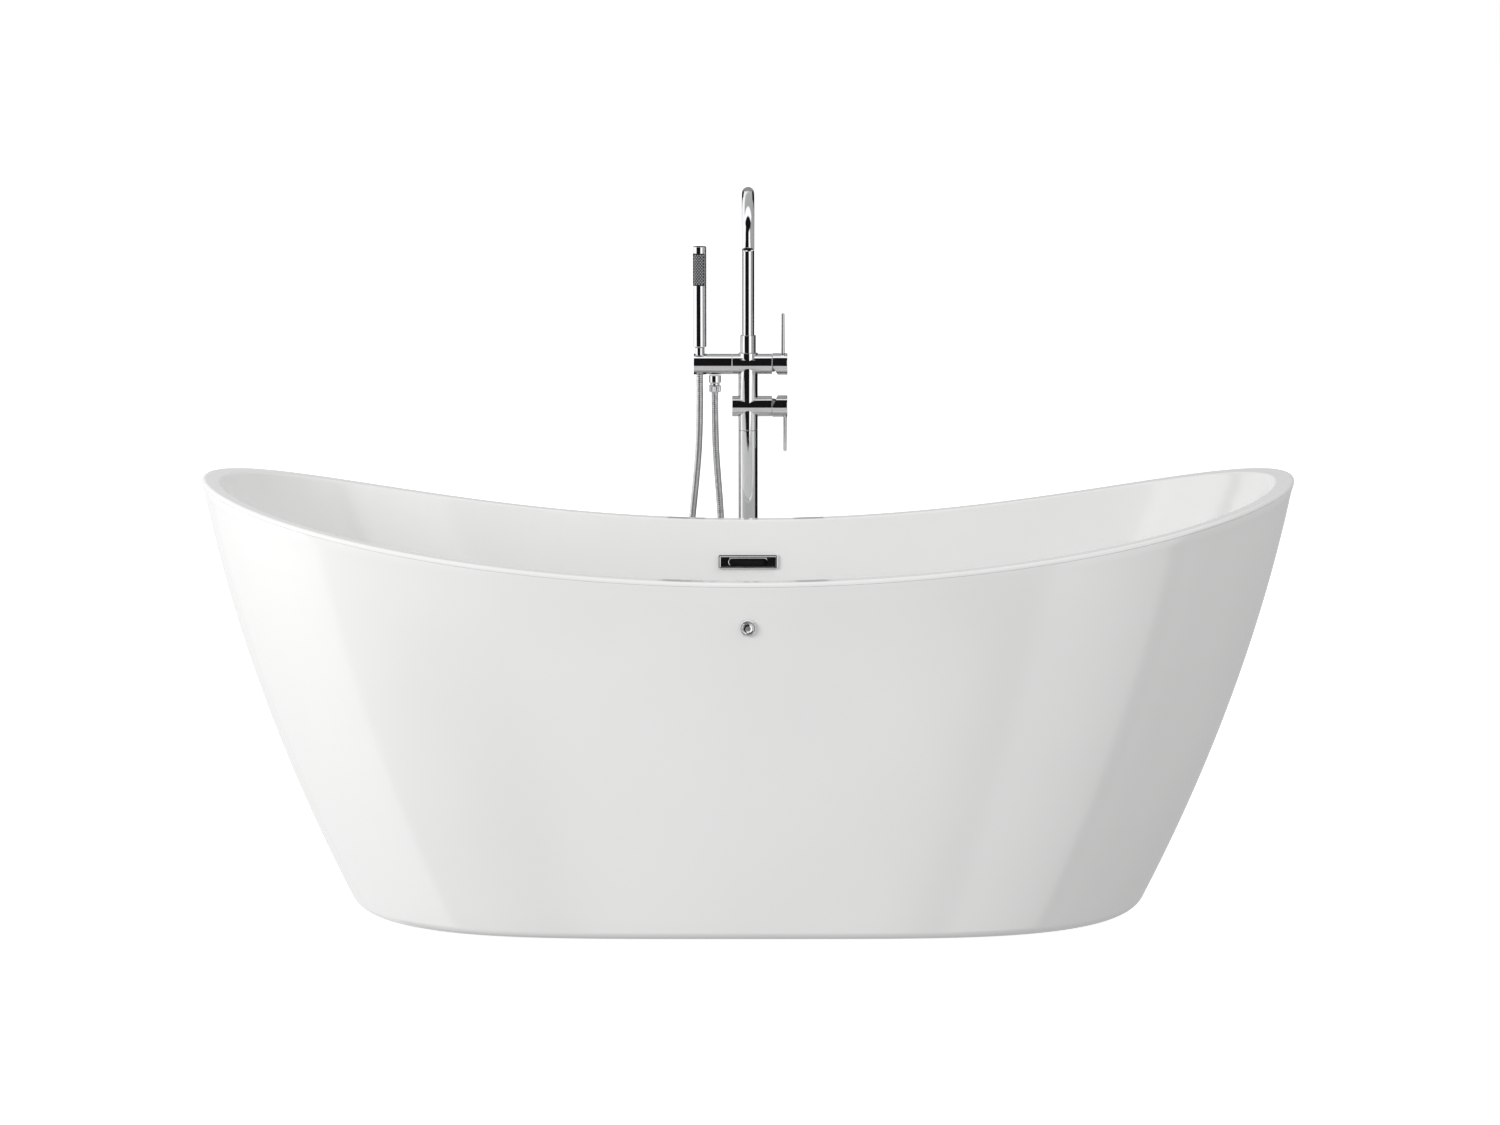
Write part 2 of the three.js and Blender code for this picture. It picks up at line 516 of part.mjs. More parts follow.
// Riser, bend and a short straight end; the bend stops short of pointing straight down.
function spoutPath() {
  const bendZ = SPOUT.topZ - SPOUT.bend;
  const points = [new THREE.Vector3(0, 0, SPOUT.foot), new THREE.Vector3(0, 0, bendZ)];
  const steps = 12;
  for (let i = 1; i <= steps; i += 1) {
    const a = rad(SPOUT.sweep * i / steps);
    const [y, z] = [-SPOUT.bend * (1 - Math.cos(a)), bendZ + SPOUT.bend * Math.sin(a)];
    points.push(new THREE.Vector3(0, y, z));
  }
  const end = rad(SPOUT.sweep);
  const out = new THREE.Vector3(0, -Math.sin(end), Math.cos(end)).multiplyScalar(SPOUT.endLength);
  points.push(points[points.length - 1].clone().add(out));
  return { points, out: out.clone().normalize() };
}

function buildSpout() {
  const { points, out } = spoutPath();
  const rings = points.map((p, i) => {
    const before = points[Math.max(i - 1, 0)];
    const after = points[Math.min(i + 1, points.length - 1)];
    const along = after.clone().sub(before).normalize();
    const side = new THREE.Vector3(1, 0, 0);
    const up = new THREE.Vector3().crossVectors(side, along);
    return Array.from({ length: SPOUT.sides }, (_, k) => {
      const a = (k / SPOUT.sides) * 2 * Math.PI;
      return p.clone().addScaledVector(side, SPOUT.r * Math.cos(a))
        .addScaledVector(up, -SPOUT.r * Math.sin(a));
    });
  });
  const tube = ringsToTube(rings);
  const tip = points[points.length - 1];
  const turn = new THREE.Quaternion().setFromUnitVectors(new THREE.Vector3(0, 0, 1), out);
  const atTip = (geometry) => moved(geometry.applyQuaternion(turn), tip.x, tip.y, tip.z);
  add('filler_spout', 'chrome', atColumn(carved(tube, atTip(rod(SPOUT.r - 1.2, -14, 5, 20)))));
  add('filler_aerator', 'black', atColumn(atTip(turned([[0, -13], [9.4, -13], [9.4, -2],
    [8.4, -1.2], [0, -1.2]], 20))));
  add('filler_collar', 'chrome', atColumn(ring(SPOUT.r + GAP, COLLAR.r, BODY_TOP + GAP, COLLAR.top, 24)));
}

function ringsToTube(rings) {
  const sides = rings[0].length;
  const positions = [];
  const index = [];
  rings.flat().forEach((p) => positions.push(p.x, p.y, p.z));
  const cap = (ringPoints) => {
    const mid = ringPoints.reduce((sum, p) => sum.add(p), new THREE.Vector3()).divideScalar(sides);
    positions.push(mid.x, mid.y, mid.z);
    return positions.length / 3 - 1;
  };
  const [bottom, top] = [cap(rings[0]), cap(rings[rings.length - 1])];
  const lastRing = (rings.length - 1) * sides;
  for (let i = 0; i < sides; i += 1) {
    const j = (i + 1) % sides;
    for (let r = 0; r < rings.length - 1; r += 1) {
      const [a, b] = [r * sides, (r + 1) * sides];
      index.push(a + i, a + j, b + j, a + i, b + j, b + i);
    }
    index.push(bottom, j, i, top, lastRing + i, lastRing + j);
  }
  const geometry = new THREE.BufferGeometry();
  geometry.setAttribute('position', new THREE.Float32BufferAttribute(positions, 3));
  geometry.setIndex(index);
  geometry.computeVertexNormals();
  return geometry;
}

function buildHandShower() {
  const stick = turned([[0, SHOWER.bottom], [SHOWER.r - 1, SHOWER.bottom],
    [SHOWER.r, SHOWER.bottom + 1.5], [SHOWER.r, SHOWER.top - 1], [SHOWER.r - 1, SHOWER.top],
    [0, SHOWER.top]], 24);
  const middle = (SHOWER.faceFrom + SHOWER.faceTo) / 2;
  const height = SHOWER.faceTo - SHOWER.faceFrom;
  const toFront = (geometry) => geometry.rotateZ(rad(-SHOWER.turn));
  const pocket = toFront(moved(box(21, 10, height + 2 * GAP), 0, -12, middle));
  add('filler_hand_shower', 'chrome', atColumn(carved(stick, pocket), SHOWER_X));
  const block = solid(toFront(moved(box(21 - 2 * GAP, 10, height), 0, -12 - GAP, middle)));
  const face = block.intersect(solid(rod(SHOWER.r + 0.7, SHOWER.faceFrom - 5, SHOWER.faceTo + 5, 24)));
  add('filler_spray_face', 'rubber', atColumn(fromSolid(face), SHOWER_X));
  add('filler_hose_cone', 'chrome', atColumn(turned([[0, UPPER_Z - 9], [7, UPPER_Z - 9],
    [8.6, UPPER_Z + 8], [8.6, SHOWER.bottom - GAP - 0.5], [0, SHOWER.bottom - GAP - 0.5]], 24), SHOWER_X));
}

// The hose hangs in a long drop from the cone to the outlet nut, clear of the column.
// Each row is a height, half the loop's width there, and the loop's middle.
function hoseRoute() {
  const loop = [[780, 13.25, -71.25], [700, 15, -71.5], [600, 23, -72.5], [500, 32, -75],
    [400, 42, -79], [310, 51, -84], [240, 56, -87], [195, 57.5, -88], [165, 58, -88]];
  const y = FILLER_Y;
  const left = loop.map(([z, half, middle]) => [middle - half, y, z]);
  const right = loop.map(([z, half, middle]) => [middle + half, y, z]).reverse();
  const bottom = [[-138, y, 136], [-117, y, 115], [-88, y, 107], [-59, y, 115], [-38, y, 136]];
  return [[SHOWER_X, y, UPPER_Z - 9 - GAP], [SHOWER_X, y, 820], ...left, ...bottom, ...right,
    [OUTLET_X, y, OUTLET.nutBottom - GAP]];
}

function buildHose() {
  add('filler_hose', 'steel', tubeAlong(curveThrough(hoseRoute()), HOSE_R, 8, 62));
}

buildShells();
buildUnderframe();
buildFeet();
buildWaste();
buildOverflow();
buildButton();
buildFillerBase();
buildColumn();
buildBody();
buildValve('diverter', UPPER_Z, 1, { x: 60.7, length: 89 });
buildValve('mixer', LOWER_Z, -1, { x: 64.5, length: 79 });
buildHolder();
buildSpout();
buildHandShower();
buildHose();

export default group;
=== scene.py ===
import math
from functools import partial

import bmesh
import bpy
from bpy.props import FloatProperty, FloatVectorProperty, IntProperty, PointerProperty
from mathutils import Matrix, Vector


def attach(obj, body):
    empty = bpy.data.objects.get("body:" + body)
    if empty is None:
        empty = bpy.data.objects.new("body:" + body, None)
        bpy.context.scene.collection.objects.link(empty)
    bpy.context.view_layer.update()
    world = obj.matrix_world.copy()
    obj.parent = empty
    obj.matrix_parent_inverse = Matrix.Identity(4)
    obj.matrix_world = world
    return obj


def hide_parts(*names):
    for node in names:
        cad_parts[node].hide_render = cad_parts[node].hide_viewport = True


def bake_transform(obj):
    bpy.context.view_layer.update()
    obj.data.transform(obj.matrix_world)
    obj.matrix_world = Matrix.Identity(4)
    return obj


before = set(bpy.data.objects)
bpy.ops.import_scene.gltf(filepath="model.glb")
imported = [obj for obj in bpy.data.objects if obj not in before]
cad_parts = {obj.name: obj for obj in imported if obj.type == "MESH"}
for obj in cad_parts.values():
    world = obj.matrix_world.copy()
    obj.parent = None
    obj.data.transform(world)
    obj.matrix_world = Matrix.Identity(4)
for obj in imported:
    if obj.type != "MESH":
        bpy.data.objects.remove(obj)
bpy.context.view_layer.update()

bl_info = {
    "name": "Freestanding bathtub",
    "version": (1, 0, 0),
    "blender": (4, 5, 0),
    "location": "View3D > Sidebar > Bathtub",
    "description": "Builds a double-ended freestanding tub with its floor-standing filler",
    "category": "Add Mesh",
}

SHARP = math.radians(38)

# Where the set stands. The tub's middle and the filler's column share the frame's x = 0.
TUB_Y = -0.089
FILLER_Y = 0.411

# The tub's form, in metres.
BASE_HALF_LENGTH = 0.651
BASE_HALF_WIDTH = 0.330
WALL_BOW = 0.46
RIM_SQUARENESS = 5.2
EVEN_OVAL = (0.900, 0.377)
BASE_SQUARENESS = 4.4
SKIRT_LIFT = 0.004
SKIRT_WALL = 0.005
BASE_ROUND = 0.014
BASE_RETURN = 0.040
SHELL = 0.006
FLOOR_Z = 0.165
FLOOR_THICK = 0.007
WASTE_HOLE = 0.026
FLOOR_HALF_LENGTH = 0.500
FLOOR_HALF_WIDTH = 0.205
FLOOR_SQUARENESS = 4.0
INNER_BOW = 1.3
OVERFLOW_BAND = (0.78, 0.89)
OVERFLOW_Z = 0.520
BUTTON_Z = 0.520

# The filler's form, in metres: heights from the floor, x from the column.
GAP = 0.0003
COLUMN_RADIUS = 0.017
COLUMN_BORE = 0.014
BAR_RADIUS = 0.0183
UPPER_Z = 0.846
LOWER_Z = 0.772
BAR_LEFT = -0.0278
SEAM_X = 0.0417
PIVOT_X = 0.042
HOLDER_X = -0.0953
SHOWER_X = -0.0845
OUTLET_X = -0.058
HANDLE_RADIUS = 0.0192
HANDLE_END = 0.0687
BALL_RADIUS = 0.0138
CAVITY_RADIUS = 0.0144
SPOUT_RADIUS = 0.011
SPOUT_BEND = 0.105
SPOUT_SWEEP = math.radians(157)
SPOUT_TOP = 1.152
SPOUT_END = 0.026
SPOUT_FOOT = 0.850
COLUMN_TOP = 0.730
BODY_TOP = 0.866
SHOWER_RADIUS = 0.012
SHOWER_TURN = math.radians(15)
HOSE_DIAMETER = 0.012
RIB_SAMPLES = 6
HOSE_AT_OUTLET = (OUTLET_X, 0.7967)
HOSE_AT_SHOWER = (SHOWER_X, 0.8367)

# The studio, in metres.
CAMERA_PLACE = (0.0033, TUB_Y - 8.0, 1.757)
SOFTBOX_PLACE = Vector((-3.2, -2.6, 1.8))
SOFTBOX_AIM = Vector((0, -0.2, 0.5))


def linear(code):
    """An sRGB hex colour as linear red, green, blue and alpha."""
    channels = [int(code[i : i + 2], 16) / 255 for i in (1, 3, 5)]
    return (*[c / 12.92 if c <= 0.04045 else ((c + 0.055) / 1.055) ** 2.4 for c in channels], 1.0)


def mix(a, b, share):
    return a + (b - a) * share


# ---- nodes and materials ------------------------------------------------


def add_node(tree, kind, options=None, inputs=None):
    """A node with its options, and its inputs given a value or linked from a socket."""
    made = tree.nodes.new(kind)
    for option, value in (options or {}).items():
        setattr(made, option, value)
    for name, value in (inputs or {}).items():
        if isinstance(value, bpy.types.NodeSocket):
            tree.links.new(value, made.inputs[name])
        else:
            made.inputs[name].default_value = value
    return made


def math_node(tree, operation, *values):
    inputs = dict(enumerate(values))
    return add_node(tree, "ShaderNodeMath", {"operation": operation}, inputs).outputs[0]


def mixed(tree, share, first, second):
    """Two colours, or two sockets, mixed by share."""
    inputs = {0: share, 6: first, 7: second}
    return add_node(tree, "ShaderNodeMix", {"data_type": "RGBA"}, inputs).outputs[2]


def ramped(tree, value, low, high, start=0.3, end=0.7, slope="LINEAR"):
    """value's span start..end spread over low..high."""
    return add_node(tree, "ShaderNodeMapRange", {"interpolation_type": slope}, {
        "Value": value, "From Min": start, "From Max": end, "To Min": low, "To Max": high,
    }).outputs["Result"]


def shaded(colour, times):
    return tuple(times * c for c in colour[:3]) + (1.0,)


class Look:
    """A material in the making, laid out in its piece's Object coordinates."""

    def __init__(self, name, constants):
        self.material = bpy.data.materials.new(name)
        self.material.use_nodes = True
        self.tree = self.material.node_tree
        self.shader = self.tree.nodes["Principled BSDF"]
        for socket, value in constants.items():
            self.shader.inputs[socket].default_value = value
        self.place = add_node(self.tree, "ShaderNodeTexCoord").outputs["Object"]

    def feed(self, socket, value):
        self.tree.links.new(value, self.shader.inputs[socket])
        return value

    def stretched(self, scale):
        inputs = {"Vector": self.place, "Scale": scale}
        return add_node(self.tree, "ShaderNodeMapping", None, inputs).outputs["Vector"]

    def noise(self, scale, detail=2.0, stretch=None):
        place = self.stretched(stretch) if stretch else self.place
        inputs = {"Vector": place, "Scale": scale, "Detail": detail}
        return add_node(self.tree, "ShaderNodeTexNoise", None, inputs).outputs["Fac"]

    def patches(self, *noise):
        """Noise with its middle span stretched over 0 to 1."""
        return ramped(self.tree, self.noise(*noise), 0, 1)

    def tones(self, share, first, second):
        self.feed("Base Color", mixed(self.tree, share, first, second))

    def roughness(self, value, low, high, start=0.3, end=0.7):
        self.feed("Roughness", ramped(self.tree, value, low, high, start, end))

    def bump(self, height, distance, strength=1.0, under=None):
        inputs = {"Height": height, "Distance": distance, "Strength": strength}
        if under is not None:
            inputs["Normal"] = under
        bump = add_node(self.tree, "ShaderNodeBump", None, inputs).outputs["Normal"]
        return self.feed("Normal", bump)


def cast_acrylic(colour):
    # Thermoformed acrylic: polished, with the long soft waviness of a formed sheet.
    look = Look("thermoformed_white_acrylic",
                {"IOR": 1.49, "Coat Weight": 0.25, "Coat Roughness": 0.05})
    look.tones(look.patches(4.0), colour, shaded(colour, 0.975))
    look.roughness(look.noise(90.0, 4.0), 0.13, 0.19)
    wave = look.bump(look.noise(9.0, 1.0), 0.0004)
    look.bump(look.noise(700.0), 0.000006, under=wave)
    return look.material


def plated_chrome(colour):
    # Chrome over polished brass: mirror bright, with faint polishing haze.
    look = Look("polished_chrome_plate", {"Base Color": colour, "Metallic": 1.0})
    look.roughness(look.noise(160.0, 3.0), 0.035, 0.075)
    look.bump(look.noise(120.0, 1.0), 0.000012)
    return look.material


def moulded_rubber(name, colour, gloss):
    # Moulded rubber: a fine even tooth from the tool, slightly greyed on its high spots.
    look = Look(name, {"IOR": 1.52})
    lighter = tuple(min(1.0, 1.5 * c + 0.004) for c in colour[:3]) + (1.0,)
    tooth = look.noise(1400.0, 3.0)
    look.tones(ramped(look.tree, tooth, 0, 1), colour, lighter)
    look.roughness(look.noise(60.0), gloss - 0.06, gloss + 0.08)
    look.bump(tooth, 0.00003)
    return look.material


def particle_board(colour):
    # Raw particle board: chips a few millimetres across, in several browns.
    look = Look("pressed_particle_board", {"Roughness": 0.85})
    place = look.stretched((160, 300, 160))
    chips = add_node(look.tree, "ShaderNodeTexVoronoi", None, {"Vector": place}).outputs
    shade = add_node(look.tree, "ShaderNodeRGBToBW", None, {"Color": chips["Color"]})
    look.tones(shade.outputs["Val"], colour, shaded(colour, 0.55))
    look.bump(chips["Distance"], 0.0003, 0.6)
    return look.material


def patchy(name, constants, colour, patches, dull_and_shade, rough, grain, depth):
    """A finish in two tones, its darker patches also rougher, over a fine grain; on the hose the
    darker tone is painted shade.
    """
    look = Look(name, constants)
    patch = look.patches(*patches)
    look.tones(patch, colour, shaded(colour, dull_and_shade))
    look.roughness(patch, *rough, 0, 1)
    look.bump(look.noise(*grain), depth)
    return look.material


def ribbed_steel(colour):
    # Interlocked stainless strip: bright crests, with darker patches laid at random that are
    # painted shade, standing in for the shade in the grooves between the ribs.
    return patchy("interlocked_steel_sheath", {"Metallic": 1.0}, colour, (260.0, 3.0), 0.6,
                  (0.06, 0.14), (900.0,), 0.00001)


def zinc_steel(colour):
    # Zinc-plated mild steel: bluish grey blotches over drawn lines.
    return patchy("zinc_plated_steel", {"Metallic": 1.0}, colour, (35.0, 4.0), 0.7,
                  (0.28, 0.46), (1.0, 2.0, (60, 900, 900)), 0.00003)


def moulded_plastic(name, colour):
    # Injection moulding: satin, with the mould's fine sparked texture.
    return patchy(name, {"IOR": 1.49}, colour, (30.0,), 0.93, (0.38, 0.5), (1100.0, 3.0), 0.00003)


def drawn_brass(colour):
    # Drawn brass tube: fine lines along the pull, dulled in patches.
    return patchy("drawn_brass_tube", {"Metallic": 1.0}, colour, (18.0, 3.0), 0.6, (0.2, 0.38),
                  (1.0, 2.0, (900, 900, 20)), 0.00002)


def make_finishes():
    """Every finish, by the record's slot, plus the nozzles' grey, which is painted highlight on
    their tips.
    """
    tints = bpy.context.scene.bath_finish
    return {
        "shell_acrylic": cast_acrylic(tuple(tints.acrylic)),
        "chrome_plate": plated_chrome(tuple(tints.chrome)),
        "hose_steel": ribbed_steel(tuple(tints.hose)),
        "black_rubber": moulded_rubber("moulded_black_rubber", tuple(tints.rubber), 0.5),
        # The nozzles' grey is painted highlight: light dots on the tips of studs whose slot is
        # black rubber.
        "nozzle": moulded_rubber("nozzle_grey_painted_highlight", tuple(tints.nozzle), 0.38),
        "black_plastic": moulded_plastic("moulded_black_abs", tuple(tints.black)),
        "zinc_steel": zinc_steel(tuple(tints.steel)),
        "floor_board": particle_board(tuple(tints.board)),
        "fitting_plastic": moulded_plastic("moulded_polypropylene", tuple(tints.plastic)),
        "brass_pipe": drawn_brass(tuple(tints.brass)),
    }


FINISH = {}


# ---- meshes ---------------------------------------------------------------


def new_object(name, points, faces, sharp=SHARP):
    mesh = bpy.data.meshes.new(name)
    mesh.from_pydata([tuple(p) for p in points], [], faces)
    return settled(name, mesh, sharp)


def settled(name, mesh, sharp=SHARP, merge=1e-7):
    """The mesh as an object: doubles merged, faces outwards, smooth but for its real edges."""
    work = bmesh.new()
    work.from_mesh(mesh)
    bmesh.ops.remove_doubles(work, verts=work.verts, dist=merge)
    bmesh.ops.dissolve_degenerate(work, edges=work.edges, dist=merge)
    bmesh.ops.recalc_face_normals(work, faces=work.faces)
    work.to_mesh(mesh)
    work.free()
    for face in mesh.polygons:
        face.use_smooth = True
    mesh.set_sharp_from_angle(angle=sharp)
    made = bpy.data.objects.new(name, mesh)
    bpy.context.scene.collection.objects.link(made)
    return made


def place_piece(made, body, finish, *nodes, slot=None):
    """Gives a finished piece its material and its body, and hides the CAD nodes it stands for; its
    slot is not used.
    """
    made.data.materials.clear()
    made.data.materials.append(FINISH[finish])
    if body is not None:
        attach(made, body)
    if nodes:
        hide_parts(*nodes)
    return made


def softened(profile, radius, steps=5):
    """A profile with each inner corner rounded off, and held flat beside each round."""
    points = [Vector((*p, 0)).to_2d() for p in profile]
    made = [points[0]]
    for before, corner, after in zip(points, points[1:], points[2:]):
        back, ahead = before - corner, after - corner
        cut = min(radius, back.length * 0.45, ahead.length * 0.45)
        start = corner + back.normalized() * cut
        end = corner + ahead.normalized() * cut
        made.append(start + back.normalized() * cut * 0.15)
        for i in range(steps + 1):
            t = i / steps
            made.append(start * (1 - t) ** 2 + corner * 2 * t * (1 - t) + end * t * t)
        made.append(end + ahead.normalized() * cut * 0.15)
    made.append(points[-1])
    return [(p.x, p.y) for p in made]


def loft(rings, closed=False):
    """Points and faces of a skin through rings of equal count. A ring of one point is a pole."""
    points, faces, starts = [], [], []
    for ring in rings:
        starts.append(len(points))
        points += ring
    pairs = list(zip(range(len(rings)), range(1, len(rings))))
    if closed:
        pairs.append((len(rings) - 1, 0))
    for a, b in pairs:
        count = max(len(rings[a]), len(rings[b]))
        for i in range(count):
            j = (i + 1) % count
            quad = [
                starts[a] + (i if len(rings[a]) > 1 else 0),
                starts[a] + (j if len(rings[a]) > 1 else 0),
                starts[b] + (j if len(rings[b]) > 1 else 0),
                starts[b] + (i if len(rings[b]) > 1 else 0),
            ]
            face = list(dict.fromkeys(quad))
            if len(face) > 2:
                faces.append(face)
    return points, faces


def circle(radius, height, count, lobes=0, depth=0.0):
    """A ring of points round z, with lobes shallow flutes of that depth if asked."""
    ring = []
    for i in range(count):
        angle = 2 * math.pi * i / count
        r = radius - (depth * (0.5 - 0.5 * math.cos(lobes * angle)) if lobes else 0)
        ring.append(Vector((r * math.cos(angle), r * math.sin(angle), height)))
    return ring


def turned(profile, around=96, place=None, flutes=None):
    """A turned solid. A profile that starts and ends on the axis is closed there."""
    closed = profile[0][0] > 1e-9
    rings = []
    for radius, height in profile[: -1 if closed else None]:
        if radius < 1e-9:
            rings.append([Vector((0, 0, height))])
        elif flutes and flutes[0] <= height <= flutes[1]:
            rings.append(circle(radius, height, around, flutes[2], flutes[3]))
        else:
            rings.append(circle(radius, height, around))
    points, faces = loft(rings, closed)
    place = place or Matrix.Identity(4)
    return [place @ p for p in points], faces


def along_x(x=0.0, y=0.0, z=0.0):
    return Matrix.Translation((x, y, z)) @ Matrix.Rotation(math.pi / 2, 4, "Y")


def at(x, y, z=0.0):
    return Matrix.Translation((x, y, z))


def block(low, high):
    """The points and faces of a box between two corners."""
    xs, ys, zs = zip(low, high)
    points = [Vector((x, y, z)) for z in zs for y in ys for x in xs]
    faces = [(0, 2, 3, 1), (4, 5, 7, 6), (0, 1, 5, 4), (2, 6, 7, 3), (0, 4, 6, 2), (1, 3, 7, 5)]
    return points, faces


def boolean(base, operation, *others, sharp=SHARP):
    """base joined with, cut by or kept inside the other objects, which are then removed."""
    for other in others:
        modifier = base.modifiers.new(operation, "BOOLEAN")
        modifier.operation = operation
        modifier.solver = "EXACT"
        modifier.object = other
    name = base.name
    mesh = plain_mesh(base)
    for other in (base, *others):
        bpy.data.objects.remove(other)
    return settled(name, mesh, sharp)


def plain_mesh(made):
    """The object's evaluated shape as a mesh of its own."""
    bpy.context.view_layer.update()
    graph = bpy.context.evaluated_depsgraph_get()
    return bpy.data.meshes.new_from_object(made.evaluated_get(graph), depsgraph=graph)


def ring_at(place, side, up, radius, count):
    turn = 2 * math.pi / count
    return [
        place + side * (radius * math.cos(turn * i)) + up * (radius * math.sin(turn * i))
        for i in range(count)
    ]


# ---- the tub's form ---------------------------------------------------------


def shape():
    return bpy.context.scene.bath_shape


def rim_height(x):
    form = shape()
    return form.middle_height + (form.end_height - form.middle_height) * (2 * x / form.length) ** 2


def bowed(share):
    return (1 - WALL_BOW) * share + WALL_BOW * share * share


def half_length(z):
    form = shape()
    full = form.length / 2
    return mix(full, BASE_HALF_LENGTH, bowed(1 - z / form.end_height))


def half_width(z):
    form = shape()
    full = form.width / 2
    return mix(full, BASE_HALF_WIDTH, bowed(1 - z / form.middle_height))


def plan(angle, squareness):
    """Long sides nearly straight, ends an even round: |x| ** squareness + y ** 2 = 1."""
    along = math.cos(angle)
    return math.copysign(abs(along) ** (2 / squareness), along), math.sin(angle)


def outside(angle, up, inset=0.0, rise=0.0):
    """A point of the outside: up runs from 0 at the skirt's foot to 1 at the rim."""
    form = shape()
    z = mix(SKIRT_LIFT, form.middle_height, up)
    for _ in range(8):
        ex, ey = plan(angle, mix(BASE_SQUARENESS, RIM_SQUARENESS, z / form.end_height))
        x, y = (half_length(z) - inset) * ex, (half_width(z) - inset) * ey
        z = mix(SKIRT_LIFT, rim_height(x), up)
    return Vector((x, y + TUB_Y, z + rise))


def inside(angle, up, grow=0.0):
    """A point of the bathing well: up runs from 0 at its floor to 1 at the rim's inner edge."""
    rim = outside(angle, 1, shape().rim_width - grow)
    ex, ey = plan(angle, FLOOR_SQUARENESS)
    spread = (1 - (1 - up) ** INNER_BOW) ** (1 / INNER_BOW)
    under = FLOOR_THICK if grow else 0
    return Vector((
        mix((FLOOR_HALF_LENGTH + grow) * ex, rim.x, spread),
        mix((FLOOR_HALF_WIDTH + grow) * ey + TUB_Y, rim.y, spread),
        mix(FLOOR_Z, rim.z, up) - under,
    ))


def even_steps(track, steps):
    """Even steps along a track of points: each the segment it falls in and the share of it."""
    run = [0.0]
    for a, b in zip(track, track[1:]):
        run.append(run[-1] + (b - a).length)
    k = 0
    for step in range(steps + 1):
        goal = run[-1] * step / steps
        while k < len(run) - 2 and run[k + 1] < goal:
            k += 1
        yield k, (goal - run[k]) / (run[k + 1] - run[k])


def even_angles(count):
    """Angles that step evenly along the rim, starting on an axis so both halves match."""
    fine = 4000

    def eased(i):
        return math.pi / 2 * (1 - (1 - i / fine) ** 3)

    flat = [plan(eased(i), RIM_SQUARENESS) for i in range(fine + 1)]
    track = [Vector((x * EVEN_OVAL[0], y * EVEN_OVAL[1], 0)) for x, y in flat]
    quarter = [eased(k + share) for k, share in even_steps(track, count // 4)][:-1]
    mirrored = [math.pi - a for a in reversed(quarter[1:])]
    half = quarter + [math.pi / 2] + mirrored
    return half + [math.pi] + [2 * math.pi - a for a in reversed(half[1:])]


def quarter_round(first, last, steps):
    """Inset and rise pairs round a quarter circle between two points of a rim section."""
    made = []
    for t in turns(steps):
        inset, rise = mix(first[0], last[0], math.sin(t)), mix(last[1], first[1], math.cos(t))
        made.append((inset, rise))
    return made


def rim_section():
    """The rim from the well's edge to its lip's back: a small inner roll, a flat, an outer roll."""
    form = shape()
    inner, outer = form.inner_roll, form.outer_roll
    width, lip = form.rim_width, form.lip_drop
    rows = [(width, -inner), *quarter_round((width - inner, 0), (width, -inner), 5)[::-1][1:]]
    rows += [(mix(width - inner, outer, share), 0) for share in (0.06, 0.3, 0.6, 0.94)]
    rows += [(outer - outer * math.sin(t), outer * (math.cos(t) - 1)) for t in turns(8)]
    return rows + [(0, -lip + 0.0004), (0.0008, -lip), (0.006, -lip), (width - SHELL, -lip)]


def turns(steps):
    return [math.pi / 2 * i / steps for i in range(steps + 1)]


def well_heights(steps):
    """Heights up the well, close together where the wall turns into the floor."""
    top = OVERFLOW_BAND[1] + 0.09
    return [top * (i / steps) ** 1.7 for i in range(steps + 1)]


def floor_rings(z, foot):
    """Rings from the waste hole out to the foot of the wall, all at one height."""
    bearing = [math.atan2(p.y - TUB_Y, p.x) for p in foot]
    inner = [Vector((WASTE_HOLE * math.cos(a), WASTE_HOLE * math.sin(a) + TUB_Y, z))
             for a in bearing]
    return [
        [a.lerp(b, share) for a, b in zip(inner, foot)]
        for share in (0, 0.03, 0.1, 0.25, 0.45, 0.65, 0.82, 0.93)
    ]


def build_basin():
    form = shape()
    angles = even_angles(form.around)
    rim = [[outside(a, 1, inset, rise) for a in angles] for inset, rise in rim_section()]
    heights = well_heights(form.rows)
    well = [[inside(a, up) for a in angles] for up in heights]
    well += [
        [p.lerp(q, share) for p, q in zip(well[-1], rim[0])] for share in (0.35, 0.7)
    ]
    back = [[inside(a, up, SHELL) for a in angles] for up in well_heights(24)]
    rings = [
        *floor_rings(FLOOR_Z, well[0]),
        *well,
        *rim,
        *back[::-1],
        *floor_rings(FLOOR_Z - FLOOR_THICK, back[0])[::-1],
    ]
    basin = new_object("Basin", *loft(rings, closed=True), sharp=math.radians(50))
    cutter = new_object("Overflow_hole", *rounded_bar(0.080, 0.015, -0.03, 0.03, 0.005))
    onto(cutter, overflow_place())
    basin = boolean(basin, "DIFFERENCE", cutter)
    place_piece(basin, "tub", "shell_acrylic", "tub_basin")


